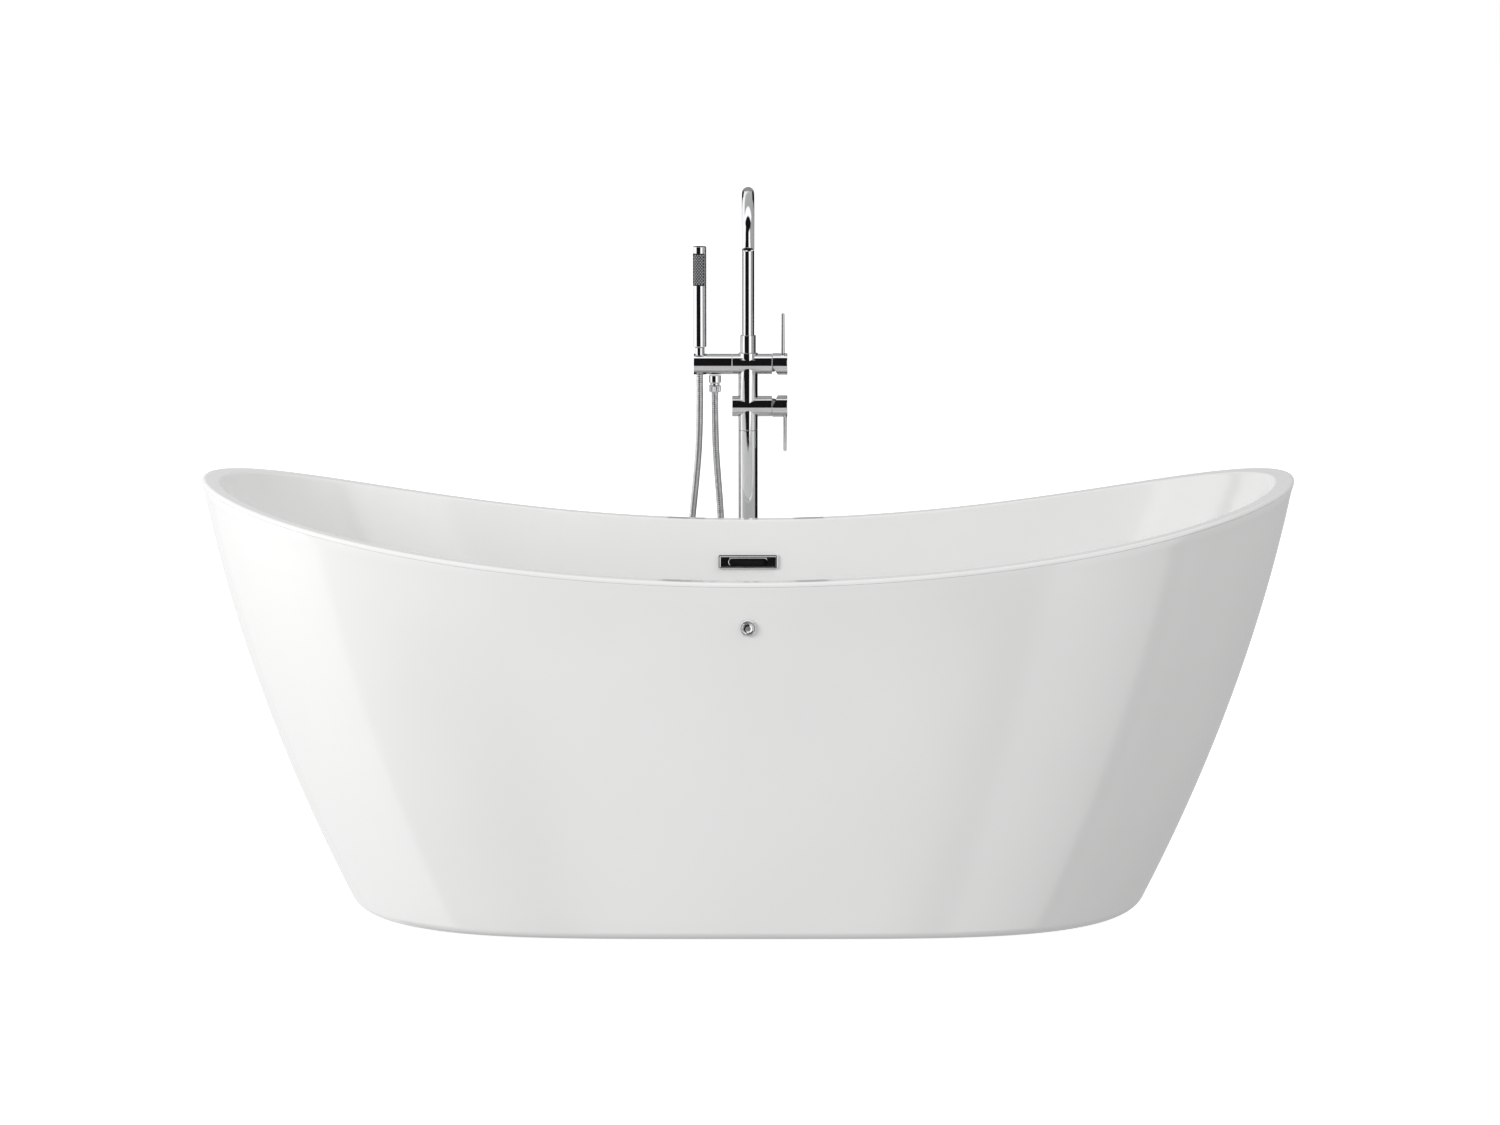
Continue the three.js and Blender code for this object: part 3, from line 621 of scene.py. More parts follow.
def build_skirt():
    form = shape()
    angles = even_angles(form.around)
    rise_to_rim = form.middle_height - SKIRT_LIFT
    foot = [
        (BASE_ROUND * (1 - math.cos(t)) / rise_to_rim, BASE_ROUND * (1 - math.sin(t)))
        for t in turns(12)
    ]
    start = foot[-1][0]
    levels = [mix(start, 1, (i / 28) ** 0.9) for i in range(1, 28)]
    top = -form.lip_drop - 0.00015
    rows = [(0, BASE_RETURN, 0), (0, BASE_ROUND + 0.008, 0)]
    rows += [(up, inset, 0) for up, inset in foot]
    rows += [(up, 0, 0) for up in levels]
    rows += [(1, 0, top - 0.0012), (1, 0.0002, top - 0.0003), (1, 0.0006, top)]
    rows += [(1, SKIRT_WALL, top)]
    rows += [(up, SKIRT_WALL, 0) for up in (0.75, 0.5, 0.25)]
    rows += [(start, SKIRT_WALL + 0.002, 0), (0, BASE_ROUND + 0.003, SKIRT_WALL)]
    rows += [(0, BASE_RETURN, SKIRT_WALL)]
    rings = [[outside(a, up, inset, rise) for a in angles] for up, inset, rise in rows]
    skirt = new_object("Skirt", *loft(rings, closed=True), sharp=math.radians(50))
    hole = new_object("Button_hole", *rod(0.0083, -0.04, 0.04, 48, 0, 0, button_place()))
    skirt = boolean(skirt, "DIFFERENCE", hole)
    place_piece(skirt, "tub", "shell_acrylic", "tub_skirt")


def overflow_place():
    """On the well's rear wall: local z points at the bather and local y up the wall."""
    foot, top = (inside(math.pi / 2, up) for up in OVERFLOW_BAND)
    middle = foot.lerp(top, (OVERFLOW_Z - foot.z) / (top.z - foot.z))
    lean = math.atan2(top.y - foot.y, top.z - foot.z)
    return Matrix.Translation(middle) @ Matrix.Rotation(math.pi / 2 - lean, 4, "X")


def button_place():
    """On the skirt's front: local z points forwards."""
    lean = math.atan2(half_width(BUTTON_Z + 0.01) - half_width(BUTTON_Z - 0.01), 0.02)
    middle = Vector((0, TUB_Y - half_width(BUTTON_Z), BUTTON_Z))
    return Matrix.Translation(middle) @ Matrix.Rotation(math.pi / 2 + lean, 4, "X")


def onto(made, place):
    made.data.transform(place)
    made.data.update()
    return made


def rounded_outline(length, height, corner, steps=8):
    x, y = length / 2 - corner, height / 2 - corner
    ring = []
    for cx, cy, start in ((x, y, 0), (-x, y, 1), (-x, -y, 2), (x, -y, 3)):
        for t in turns(steps):
            a = start * math.pi / 2 + t
            ring.append((cx + corner * math.cos(a), cy + corner * math.sin(a)))
    return ring


def outline_ring(length, height, corner, z, steps=8):
    return [Vector((x, y, z)) for x, y in rounded_outline(length, height, corner, steps)]


def rounded_bar(length, height, low, high, corner, edge=0.0, steps=8):
    """A slab with a rounded outline, whose front edge can be rolled over by edge."""
    rings = [[Vector((0, 0, low))], outline_ring(length, height, corner, low, steps)]
    for t in turns(4) if edge else [0.0]:
        cut = edge * (1 - math.cos(t))
        tall = high - edge * (1 - math.sin(t))
        rings.append(outline_ring(length - 2 * cut, height - 2 * cut,
                                  max(corner - cut, 0.0002), tall, steps))
    return loft([*rings, [Vector((0, 0, high))]])


# ---- waste, overflow and button -----------------------------------------


def turned_piece(name, node, profile, place, edge, steps=5, around=96, body="tub",
                 finish="chrome_plate", flutes=None, sharp=SHARP):
    """A turned piece in its place, its corners softened by edge, and its finish."""
    skin = turned(softened(profile, edge, steps) if edge else profile, around, place, flutes)
    place_piece(new_object(name, *skin, sharp), body, finish, node)


def build_waste():
    top = FLOOR_Z + 0.0025
    turned_piece("Waste_flange", "waste_flange", [
        (0.020, FLOOR_Z - 0.030), (0.023, FLOOR_Z - 0.030), (0.023, FLOOR_Z + GAP),
        (0.035, FLOOR_Z + GAP), (0.0345, top - 0.0006), (0.032, top), (0.0212, top),
        (0.020, top - 0.0015), (0.020, FLOOR_Z - 0.030)], at(0, TUB_Y), 0.0008)
    base = top + GAP
    turned_piece("Click_plug", "waste_plug", [
        (0, FLOOR_Z - 0.040), (0.005, FLOOR_Z - 0.040), (0.005, base), (0.030, base),
        (0.030, base + 0.002), (0.026, base + 0.0045), (0.012, base + 0.0058),
        (0, base + 0.006)], at(0, TUB_Y), 0.0012, body="waste_plug")


def build_overflow():
    length, height, depth, edge = 0.102, 0.024, 0.005, 0.0032
    face = 0.001 + depth
    sections = [(0, 0.001), (0, face - 0.0008), (0.00025, face - 0.00025), (0.0008, face),
                (edge - 0.0006, face), (edge - 0.0001, face - 0.0004), (edge, face - 0.0012),
                (edge + 0.0002, face - 0.0028)]
    rings = [outline_ring(length - 2 * cut, height - 2 * cut, max(0.0025 - cut, 0.0004), z)
             for cut, z in sections]
    inner = face - 0.0028
    for grow, z in ((0.0012, inner), (0.0002, inner - 0.0002), (0, inner - 0.001), (0, 0.001)):
        rings.append(outline_ring(0.066 + 2 * grow, 0.012 + 2 * grow, 0.0055 + grow, z))
    plate = new_object("Overflow_plate", *loft(rings, closed=True))
    place_piece(onto(plate, overflow_place()), "tub", "chrome_plate", "overflow_plate")


def build_button():
    place = button_place()
    turned_piece("Button_bezel", "button_bezel", [
        (0.0104, 0.0003), (0.0132, 0.0003), (0.0132, 0.0032), (0.0118, 0.005), (0.0108, 0.005),
        (0.0104, 0.0044), (0.0104, 0.0003)], place, 0.0006)
    turned_piece("Button_cap", "button_cap", [
        (0, 0.0036), (0.0101, 0.0036), (0.0101, 0.0062), (0.0092, 0.0070), (0.0078, 0.0062),
        (0.0074, 0.0062), (0.0070, 0.0074), (0.0045, 0.0080), (0, 0.0080)], place, 0.0004,
        body="button_cap")


# ---- the floor-standing filler --------------------------------------------


def at_column(x=0.0, z=0.0):
    return at(x, FILLER_Y, z)


def rod(radius, low, high, around=96, edge=0.0006, steps=3, place=None):
    corners = [(0, low), (radius, low), (radius, high), (0, high)]
    return turned(softened(corners, edge, steps) if edge else corners, around, place)


def build_filler_base():
    turned_piece("Base_cover", "filler_base_cover", [
        (0.053, 0.0005), (0.055, 0.0005), (0.055, 0.012), (0.050, 0.016), (0.0173, 0.016),
        (0.0173, 0.0135), (0.049, 0.0135), (0.053, 0.0115), (0.053, 0.0005)],
        at_column(), 0.0018, 6, 128)
    foot = 0.0063
    turned_piece("Column", "filler_column", [
        (COLUMN_BORE, foot), (COLUMN_RADIUS, foot), (COLUMN_RADIUS, COLUMN_TOP),
        (COLUMN_BORE, COLUMN_TOP), (COLUMN_BORE, foot)], at_column(), 0.0006, 3)


def build_filler_body():
    body = new_object("Body", *rod(COLUMN_RADIUS, COLUMN_TOP + GAP, BODY_TOP, steps=9))
    levels = (UPPER_Z, LOWER_Z)
    bars = [new_object("Bar", *rod(BAR_RADIUS, BAR_LEFT, SEAM_X, 128, 0.0006, 9, along_x(z=z)))
            for z in levels]
    body = boolean(body, "UNION", *bars)
    cuts = [new_object("Bore", *rod(0.015, 0.020, 0.060, edge=0, place=along_x(z=z)))
            for z in levels]
    cuts.append(new_object("Socket", *rod(SPOUT_RADIUS + GAP, SPOUT_FOOT - 0.002, 0.9, edge=0)))
    body = boolean(body, "DIFFERENCE", *cuts, sharp=math.radians(13))
    place_piece(onto(body, at_column()), "tub", "chrome_plate", "filler_body")


def build_valve(name, z, side, lever_x, lever_length):
    """side +1 has its lever up and its relief underneath; -1 is the other way round."""
    handle = new_object(name + "_handle", *rod(
        HANDLE_RADIUS, PIVOT_X, HANDLE_END, 128, 0.0009, 4, along_x()))
    arc = [(CAVITY_RADIUS * math.sin(math.pi * i / 32), -CAVITY_RADIUS * math.cos(math.pi * i / 32))
           for i in range(33)]
    arc[0], arc[-1] = (0, -CAVITY_RADIUS), (0, CAVITY_RADIUS)
    cavity = new_object("Cavity", *turned(arc, 64, along_x(PIVOT_X)))
    low, high = (-0.06, 0) if side > 0 else (0, 0.06)
    points, faces = block((-0.06, -0.03, low), (0, 0.03, high))
    tilt = at(PIVOT_X, 0) @ Matrix.Rotation(math.radians(-28) * side, 4, "Y")
    relief = new_object("Relief", [tilt @ p for p in points], faces)
    up = Matrix.Rotation(0 if side > 0 else math.pi, 4, "X")
    hole = new_object("Lever_hole", *rod(
        0.00355, HANDLE_RADIUS - 0.004, HANDLE_RADIUS + 0.005, 48, 0, 0, at(lever_x, 0) @ up))
    handle = boolean(handle, "DIFFERENCE", cavity, relief, hole)
    node = "filler_" + name.lower()
    place_piece(onto(handle, at_column(0, z)), node + "_handle", "chrome_plate",
                node + "_handle")
    turned_piece(name + "_lever", node + "_lever", [
        (0, HANDLE_RADIUS - 0.0037), (0.00325, HANDLE_RADIUS - 0.0037), (0.0029, lever_length),
        (0, lever_length)], at_column(lever_x, z) @ up, 0.0018, 6, 48, node + "_handle")
    ball = [(0, 0.028), (0.008, 0.028), (0.008, SEAM_X), (BALL_RADIUS, SEAM_X)]
    ball += [(BALL_RADIUS * math.cos(t), PIVOT_X + BALL_RADIUS * math.sin(t))
             for t in turns(12)[:-1]]
    ball.append((0, PIVOT_X + BALL_RADIUS))
    turned_piece(name + "_ball", node + "_ball", ball, at_column(0, z) @ along_x(), 0, around=64,
                 body=node + "_ball", finish="zinc_steel")


def build_valves():
    build_valve("Diverter", UPPER_Z, 1, 0.0607, 0.089)
    build_valve("Mixer", LOWER_Z, -1, 0.0645, 0.079)


def build_holder():
    bar = new_object("Holder", *rod(BAR_RADIUS, HOLDER_X, BAR_LEFT - GAP, 128,
                                    place=along_x()))
    cone = [(0, -0.025), (0.0075, -0.025), (0.0075, -0.010), (0.0092, 0.008), (0.0092, 0.030),
            (0, 0.030)]
    seat = new_object("Seat", *turned(cone, 96, at(SHOWER_X, 0)))
    place_piece(onto(boolean(bar, "DIFFERENCE", seat), at_column(0, UPPER_Z)), "tub",
                "chrome_plate", "filler_holder")
    top = UPPER_Z - BAR_RADIUS - 0.0015
    turned_piece("Hose_outlet", "filler_outlet", [
        (0, 0.809), (0.0082, 0.809), (0.0082, 0.813), (0.0108, 0.8138), (0.0108, top),
        (0, top)], at_column(OUTLET_X), 0.0007, 3)
    turned_piece("Hose_nut", "filler_hose_nut", [
        (0, 0.797), (0.0096, 0.797), (0.0108, 0.7986), (0.0108, 0.8071), (0.0098, 0.8087),
        (0, 0.8087)], at_column(OUTLET_X), 0.0005, 3, 240,
        flutes=(0.7984, 0.8073, 20, 0.0007), sharp=math.radians(60))


def spout_path():
    bend_z = SPOUT_TOP - SPOUT_BEND
    path = [Vector((0, 0, mix(SPOUT_FOOT, bend_z, i / 6))) for i in range(6)]
    for i in range(65):
        a = SPOUT_SWEEP * i / 64
        path.append(Vector((0, -SPOUT_BEND * (1 - math.cos(a)), bend_z + SPOUT_BEND * math.sin(a))))
    out = Vector((0, -math.sin(SPOUT_SWEEP), math.cos(SPOUT_SWEEP)))
    return path + [path[-1] + out * SPOUT_END * share for share in (0.5, 1)], out


def build_spout():
    path, out = spout_path()
    side = Vector((1, 0, 0))
    aheads = [(path[min(i + 1, len(path) - 1)] - path[max(i - 1, 0)]).normalized()
              for i in range(len(path))]
    rings = [[path[0]], ring_at(path[0], side, side.cross(aheads[0]), SPOUT_RADIUS, 96)]
    for point, ahead in list(zip(path, aheads))[1:-1]:
        rings.append(ring_at(point, side, side.cross(ahead), SPOUT_RADIUS, 96))
    tip, up = path[-1], side.cross(out)
    mouth = [(SPOUT_RADIUS, -0.0008), (SPOUT_RADIUS - 0.0001, -0.0003),
             (SPOUT_RADIUS - 0.0004, 0), (SPOUT_RADIUS - 0.0009, 0),
             (SPOUT_RADIUS - 0.0012, -0.0004), (SPOUT_RADIUS - 0.0012, -0.014)]
    for radius, depth in mouth:
        rings.append(ring_at(tip + out * depth, side, up, radius, 96))
    rings.append([tip - out * 0.014])
    spout = new_object("Spout", *loft(rings))
    place_piece(onto(spout, at_column()), "filler_spout", "chrome_plate", "filler_spout")
    turn = out.to_track_quat("Z", "Y").to_matrix().to_4x4()
    turned_piece("Aerator", "filler_aerator", [
        (0, -0.013), (0.0094, -0.013), (0.0094, -0.0022), (0.0086, -0.0012),
        (0.0078, -0.0014), (0.0074, -0.0034), (0, -0.0034)],
        at_column() @ Matrix.Translation(tip) @ turn, 0.0004, 3, 64, "filler_spout",
        "black_plastic")
    bore = SPOUT_RADIUS + GAP
    turned_piece("Collar", "filler_collar", [
        (bore, BODY_TOP + GAP), (0.0136, BODY_TOP + GAP), (0.0136, 0.897), (bore, 0.897),
        (bore, BODY_TOP + GAP)], at_column(), 0.0007, 3)


def spray_slab(name, half, low, high, edge):
    """The spray face: a thick strip bent round the front of the hand shower."""
    rows = []
    span = math.asin(half / SHOWER_RADIUS)
    for radius in (SHOWER_RADIUS + 0.0006, SHOWER_RADIUS - 0.0045):
        rows.append([Vector((radius * math.sin(span * t), -radius * math.cos(span * t), 0))
                     for t in [i / 12 - 1 for i in range(25)]])
    section = rows[0] + rows[1][::-1]
    middle = sum(section, Vector()) / len(section)
    rings = [[middle + Vector((0, 0, low))]]
    for inset, z in ((edge, low), (0, low + edge), (0, high - edge), (edge, high)):
        rings.append([p + (middle - p).normalized() * inset + Vector((0, 0, z)) for p in section])
    rings.append([middle + Vector((0, 0, high))])
    return new_object(name, *loft(rings))


def open_group(name, **settings):
    """A Geometry Nodes group that takes a start, its settings and a material."""
    tree = bpy.data.node_groups.new(name, "GeometryNodeTree")
    face = tree.interface
    face.new_socket("Geometry", in_out="INPUT", socket_type="NodeSocketGeometry")
    for key, value in settings.items():
        kind = "NodeSocketInt" if isinstance(value, int) else "NodeSocketFloat"
        made = face.new_socket(key.replace("_", " "), in_out="INPUT", socket_type=kind)
        made.default_value = value
    face.new_socket("Material", in_out="INPUT", socket_type="NodeSocketMaterial")
    face.new_socket("Geometry", in_out="OUTPUT", socket_type="NodeSocketGeometry")
    return tree, add_node(tree, "NodeGroupInput").outputs


def close_group(tree, geometry, material):
    """Ends a group: instances made real, the material set and the result put out."""
    real = add_node(tree, "GeometryNodeRealizeInstances", None, {"Geometry": geometry})
    done = add_node(tree, "GeometryNodeSetMaterial", None, {
        "Geometry": real.outputs[0], "Material": material})
    tree.links.new(done.outputs[0], add_node(tree, "NodeGroupOutput").inputs[0])
    return tree


def nozzle_group(**settings):
    """Geometry Nodes: studs stood in staggered rows, bent round the hand shower."""
    tree, given = open_group("Spray nozzles", **settings)
    run = partial(math_node, tree)
    columns, radius = given["Columns"], given["Barrel radius"]
    total = run("MULTIPLY", columns, given["Rows"])
    points = add_node(tree, "GeometryNodePoints", None, {"Count": total}).outputs["Points"]
    index = add_node(tree, "GeometryNodeInputIndex").outputs[0]
    row = run("FLOOR", run("DIVIDE", index, columns))
    column = run("MODULO", index, columns)
    shift = run("MULTIPLY", run("MODULO", row, 2.0), 0.5)
    middle = run("MULTIPLY", run("SUBTRACT", columns, 0.5), 0.5)
    across = run("ADD", run("SUBTRACT", run("ADD", column, shift), middle), 0.25)
    angle = run("DIVIDE", run("MULTIPLY", across, given["Pitch"]), radius)
    x = run("MULTIPLY", run("SINE", angle), radius)
    y = run("MULTIPLY", run("COSINE", angle), run("MULTIPLY", radius, -1.0))
    z = run("MULTIPLY", row, given["Row rise"])
    spot = add_node(tree, "ShaderNodeCombineXYZ", None, {"X": x, "Y": y, "Z": z}).outputs[0]
    spin = add_node(tree, "ShaderNodeCombineXYZ", None, {"X": math.pi / 2, "Z": angle}).outputs[0]
    moved = add_node(
        tree, "GeometryNodeSetPosition", None, {"Geometry": points, "Position": spot})
    stud = add_node(tree, "GeometryNodeMeshCone", None, {
        "Vertices": 4, "Side Segments": 1, "Radius Top": 0.0011, "Radius Bottom": 0.0019,
        "Depth": 0.0011})
    placed = add_node(tree, "GeometryNodeInstanceOnPoints", None, {
        "Points": moved.outputs[0], "Instance": stud.outputs["Mesh"], "Rotation": spin})
    return close_group(tree, placed.outputs[0], given["Material"])


def from_nodes(name, tree, start, finish, **settings):
    """The mesh that a node group makes from a starting object, as a finished object."""
    modifier = start.modifiers.new(tree.name, "NODES")
    modifier.node_group = tree
    sockets = {item.name: item.identifier for item in tree.interface.items_tree
               if item.item_type == "SOCKET" and item.in_out == "INPUT"}
    for key, value in {**settings, "Material": FINISH[finish]}.items():
        modifier[sockets[key.replace("_", " ")]] = value
    mesh = plain_mesh(start)
    start.modifiers.remove(modifier)
    bpy.data.objects.remove(start)
    return settled(name, mesh)


def build_hand_shower():
    face_low, face_high, low, high = 0.984, 1.040, 0.876, 1.052
    stick = new_object("Hand_shower", *rod(SHOWER_RADIUS, low, high, 128, 0.0016, 6))
    facing = Matrix.Rotation(-SHOWER_TURN, 4, "Z")
    points, faces = block((-0.0105, -0.02, face_low - 0.0003), (0.0105, -0.007, face_high + 0.0003))
    pocket = new_object("Pocket", [facing @ p for p in points], faces)
    stick = boolean(stick, "DIFFERENCE", pocket)
    place_piece(onto(stick, at_column(SHOWER_X)), "filler_hand_shower", "chrome_plate",
                "filler_hand_shower")
    slab = spray_slab("Spray_face", 0.0101, face_low, face_high, 0.0003)
    onto(slab, at_column(SHOWER_X) @ facing)
    place_piece(slab, "filler_hand_shower", "black_rubber", "filler_spray_face")
    rise, rows = 0.0029, 18
    settings = {"Pitch": 0.0048, "Row_rise": rise, "Columns": 4, "Rows": rows,
                "Barrel_radius": SHOWER_RADIUS + 0.0005}
    studs = from_nodes("Spray_nozzles", nozzle_group(**settings),
                       new_object("Nozzles", [(0, 0, 0)], []), "nozzle", **settings)
    foot = face_low + (face_high - face_low - rise * (rows - 1)) / 2
    onto(studs, at_column(SHOWER_X, foot) @ facing)
    # The studs keep the black rubber slot; their grey finish is painted highlight on the nozzle
    # tips.
    place_piece(studs, "filler_hand_shower", "nozzle", slot="black_rubber")
    turned_piece("Hose_cone", "filler_hose_cone", [
        (0, 0.837), (0.0068, 0.837), (0.0070, 0.840), (0.0086, 0.854), (0.0086, 0.8752),
        (0, 0.8752)], at_column(SHOWER_X), 0.0006, 3, body="filler_hand_shower")


# ---- the hose ---------------------------------------------------------------


def hose_route():
    """Given points, from the hand shower's cone down round the loop and up to the outlet."""
    loop = [(0.780, 0.01325, -0.07125), (0.700, 0.015, -0.0715), (0.600, 0.023, -0.0725),
            (0.500, 0.032, -0.075), (0.400, 0.042, -0.079), (0.310, 0.051, -0.084),
            (0.240, 0.056, -0.087), (0.195, 0.0575, -0.088), (0.165, 0.058, -0.088)]
    left = [(middle - half, z) for z, half, middle in loop]
    right = [(middle + half, z) for z, half, middle in reversed(loop)]
    bottom = [(-0.138, 0.136), (-0.117, 0.115), (-0.088, 0.107), (-0.059, 0.115),
              (-0.038, 0.136)]
    route = [HOSE_AT_SHOWER, (SHOWER_X, 0.820), *left, *bottom, *right, HOSE_AT_OUTLET]
    return [Vector((x, FILLER_Y, z)) for x, z in route]


def curve_through(points, spacing):
    """The centripetal Catmull-Rom curve through the points, at even steps of about spacing."""
    fine = []
    last = len(points) - 1
    for i in range(last):
        p1, p2 = points[i], points[i + 1]
        p0 = points[i - 1] if i else p1 * 2 - p2
        p3 = points[i + 2] if i + 2 <= last else p2 * 2 - p1
        d0, d1, d2 = ((b - a).length ** 0.5 for a, b in ((p0, p1), (p1, p2), (p2, p3)))
        t1 = ((p1 - p0) / d0 - (p2 - p0) / (d0 + d1) + (p2 - p1) / d1) * d1
        t2 = ((p2 - p1) / d1 - (p3 - p1) / (d1 + d2) + (p3 - p2) / d2) * d1
        for k in range(60):
            t = k / 60
            fine.append(p1 + t1 * t + (p2 * 3 - p1 * 3 - t1 * 2 - t2) * t * t
                        + (p1 * 2 - p2 * 2 + t1 + t2) * t * t * t)
    fine.append(points[-1])
    steps = round(sum((b - a).length for a, b in zip(fine, fine[1:])) / spacing)
    return [fine[k].lerp(fine[k + 1], share) for k, share in even_steps(fine, steps)]


def sheath_group(**settings):
    """Geometry Nodes: a round section drawn along the route, ribbed by its own spacing."""
    tree, given = open_group("Ribbed sheath", **settings)
    run = partial(math_node, tree)
    line = add_node(tree, "GeometryNodeMeshToCurve", None, {"Mesh": given["Geometry"]})
    step = run("MULTIPLY", given["Rib pitch"], 1 / RIB_SAMPLES)
    even = add_node(tree, "GeometryNodeResampleCurve", {"mode": "LENGTH"}, {
        "Curve": line.outputs[0], "Length": step})
    index = add_node(tree, "GeometryNodeInputIndex").outputs[0]
    crest = run("ABSOLUTE", run("SINE", run("MULTIPLY", index, math.pi / RIB_SAMPLES)))
    groove = run("SUBTRACT", run("POWER", crest, 0.5), 1.0)
    radius = run("ADD", given["Radius"], run("MULTIPLY", groove, given["Rib depth"]))
    ribbed = add_node(tree, "GeometryNodeSetCurveRadius", None, {
        "Curve": even.outputs[0], "Radius": radius})
    ring = add_node(
        tree, "GeometryNodeCurvePrimitiveCircle", None, {"Resolution": 16, "Radius": 1.0})
    tube = add_node(tree, "GeometryNodeCurveToMesh", None, {
        "Curve": ribbed.outputs[0], "Profile Curve": ring.outputs["Curve"], "Fill Caps": True})
    if "Scale" in tube.inputs:
        tree.links.new(radius, tube.inputs["Scale"])
    return close_group(tree, tube.outputs[0], given["Material"])


def build_hose():
    hose_shape = bpy.context.scene.bath_hose
    path = curve_through(hose_route(), 0.004)
    mesh = bpy.data.meshes.new("Hose route")
    mesh.from_pydata(path, [(i, i + 1) for i in range(len(path) - 1)], [])
    start = bpy.data.objects.new("Hose route", mesh)
    bpy.context.scene.collection.objects.link(start)
    settings = {"Radius": HOSE_DIAMETER / 2, "Rib_pitch": hose_shape.rib_pitch,
                "Rib_depth": hose_shape.rib_depth}
    hose = from_nodes("Ribbed_hose", sheath_group(**settings), start, "hose_steel", **settings)
    hose.data.materials.clear()
    hose.data.materials.append(FINISH["hose_steel"])
    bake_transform(hose)
    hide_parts("filler_hose")
    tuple(path[0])


# ---- hidden pieces ------------------------------------------------------------

KEPT_NODES = {
    "zinc_steel": ("frame_", "foot_", "filler_base_plate", "filler_anchor_"),
    "fitting_plastic": ("waste_body", "waste_trap", "waste_outlet", "overflow_pipe",
                        "button_barrel", "filler_mixer_cartridge",
                        "filler_diverter_cartridge"),
    "black_plastic": ("overflow_body",),
    "black_rubber": ("waste_gasket",),
    "floor_board": ("tub_floor_board",),
    "brass_pipe": ("filler_hot_pipe", "filler_cold_pipe"),
}


def finish_kept_nodes():
    """The plain hidden pieces keep their modelled shape and take a real finish."""
    for name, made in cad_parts.items():
        for finish, starts in KEPT_NODES.items():
            if name.startswith(starts):
                finish = "black_rubber" if name.endswith("_pad") else finish
                made.data.materials.clear()
                made.data.materials.append(FINISH[finish])


# ---- the studio ----------------------------------------------------------------


def grey_ramp(tree, share, stops):
    """Grey levels against an angle in degrees, -180 to 180, joined by straight slopes."""
    made = add_node(tree, "ShaderNodeValToRGB", None, {"Fac": share})
    ramp = made.color_ramp
    while len(ramp.elements) > 2:
        ramp.elements.remove(ramp.elements[-1])
    for i, (angle, level) in enumerate(stops):
        spot = (angle + 180) / 360
        element = ramp.elements[i] if i < 2 else ramp.elements.new(spot)
        element.position = spot
        element.color = (level, level, level, 1)
    return made.outputs["Color"]


def build_world():
    """White to the camera, soft uneven light on the object, grey bands in its reflections."""
    setup = bpy.context.scene.bath_stage
    world = bpy.data.worlds.new("Studio")
    bpy.context.scene.world = world
    world.use_nodes = True
    tree = world.node_tree
    way = add_node(tree, "ShaderNodeTexCoord").outputs["Generated"]
    parts = add_node(tree, "ShaderNodeSeparateXYZ", None, {"Vector": way}).outputs
    run = partial(math_node, tree)
    x, z = parts["X"], parts["Z"]
    front = run("MULTIPLY", parts["Y"], -1.0)

    def soft(value, start, end, low=0.0, high=1.0):
        return ramped(tree, value, low, high, start, end, "SMOOTHSTEP")

    def bands(part, stops):
        turn = run("DIVIDE", run("ARCTAN2", part, front), 2 * math.pi)
        return grey_ramp(tree, run("ADD", turn, 0.5), stops)

    sides = bands(x, [
        (-180, 0.6), (-165, 1.0), (-150, 1.0), (-144, 1.1), (-56, 1.2), (-53, 0.008), (13, 0.008),
        (15, 1.2), (50, 1.2), (52, 0.03), (59, 0.03), (61, 0.45), (120, 0.38),
        (150, 0.45), (180, 0.6)])
    roof = bands(z, [
        (-180, 0.9), (-150, 0.5), (-90, 0.30), (-46, 0.34), (-44, 1.1), (-17, 1.1),
        (-15, 0.008), (72, 0.008), (75, 1.2), (92, 1.2), (97, 0.45), (150, 0.5), (180, 0.9)])
    wide = run("MAXIMUM", soft(run("ABSOLUTE", x), 0.05, 0.2), run("LESS_THAN", front, 0.0))
    sideways = run("MULTIPLY", wide, soft(run("ABSOLUTE", z), 0.72, 0.66))
    corner = run("MAXIMUM", run("MULTIPLY", x, z), 0.0)
    level = run("MULTIPLY", x, setup.right_light)
    for share, light in ((front, setup.front_light), (corner, setup.corner_light)):
        level = run("ADD", level, run("MULTIPLY", share, light))
    level = run("MULTIPLY", run("ADD", level, setup.fill),
                soft(z, -0.25, 0.0, setup.floor_light, 1.0))
    rays = add_node(tree, "ShaderNodeLightPath").outputs
    lit = mixed(tree, rays["Is Glossy Ray"], level, mixed(tree, sideways, roof, sides))
    seen = mixed(tree, rays["Is Camera Ray"], lit, linear("#ffffff"))
    tree.links.new(seen, tree.nodes["Background"].inputs["Color"])


def build_camera():
    setup = bpy.context.scene.bath_stage
    data = bpy.data.cameras.new("View")
    data.sensor_width = 36.0
    data.lens = setup.lens
    data.dof.use_dof = False
    data.clip_end = 60
    camera = bpy.data.objects.new("View", data)
    camera.location = CAMERA_PLACE
    camera.rotation_euler = (math.pi / 2 - setup.pitch, 0, 0)
    bpy.context.scene.collection.objects.link(camera)
    bpy.context.scene.camera = camera


def build_floor():
    edge = 30
    points = [(-edge, -edge, 0), (edge, -edge, 0), (edge, edge, 0), (-edge, edge, 0)]
    floor = new_object("Floor", points, [(0, 1, 2, 3)])
    look = Look("matt_white_studio_paper", {
        "Roughness": 0.9, "Emission Strength": bpy.context.scene.bath_stage.floor_glow,
        "Emission Color": linear("#ffffff")})
    look.tones(look.patches(3.0), linear("#fafafa"), linear("#f6f6f6"))
    floor.data.materials.append(look.material)
    floor.visible_glossy = floor.visible_diffuse = False


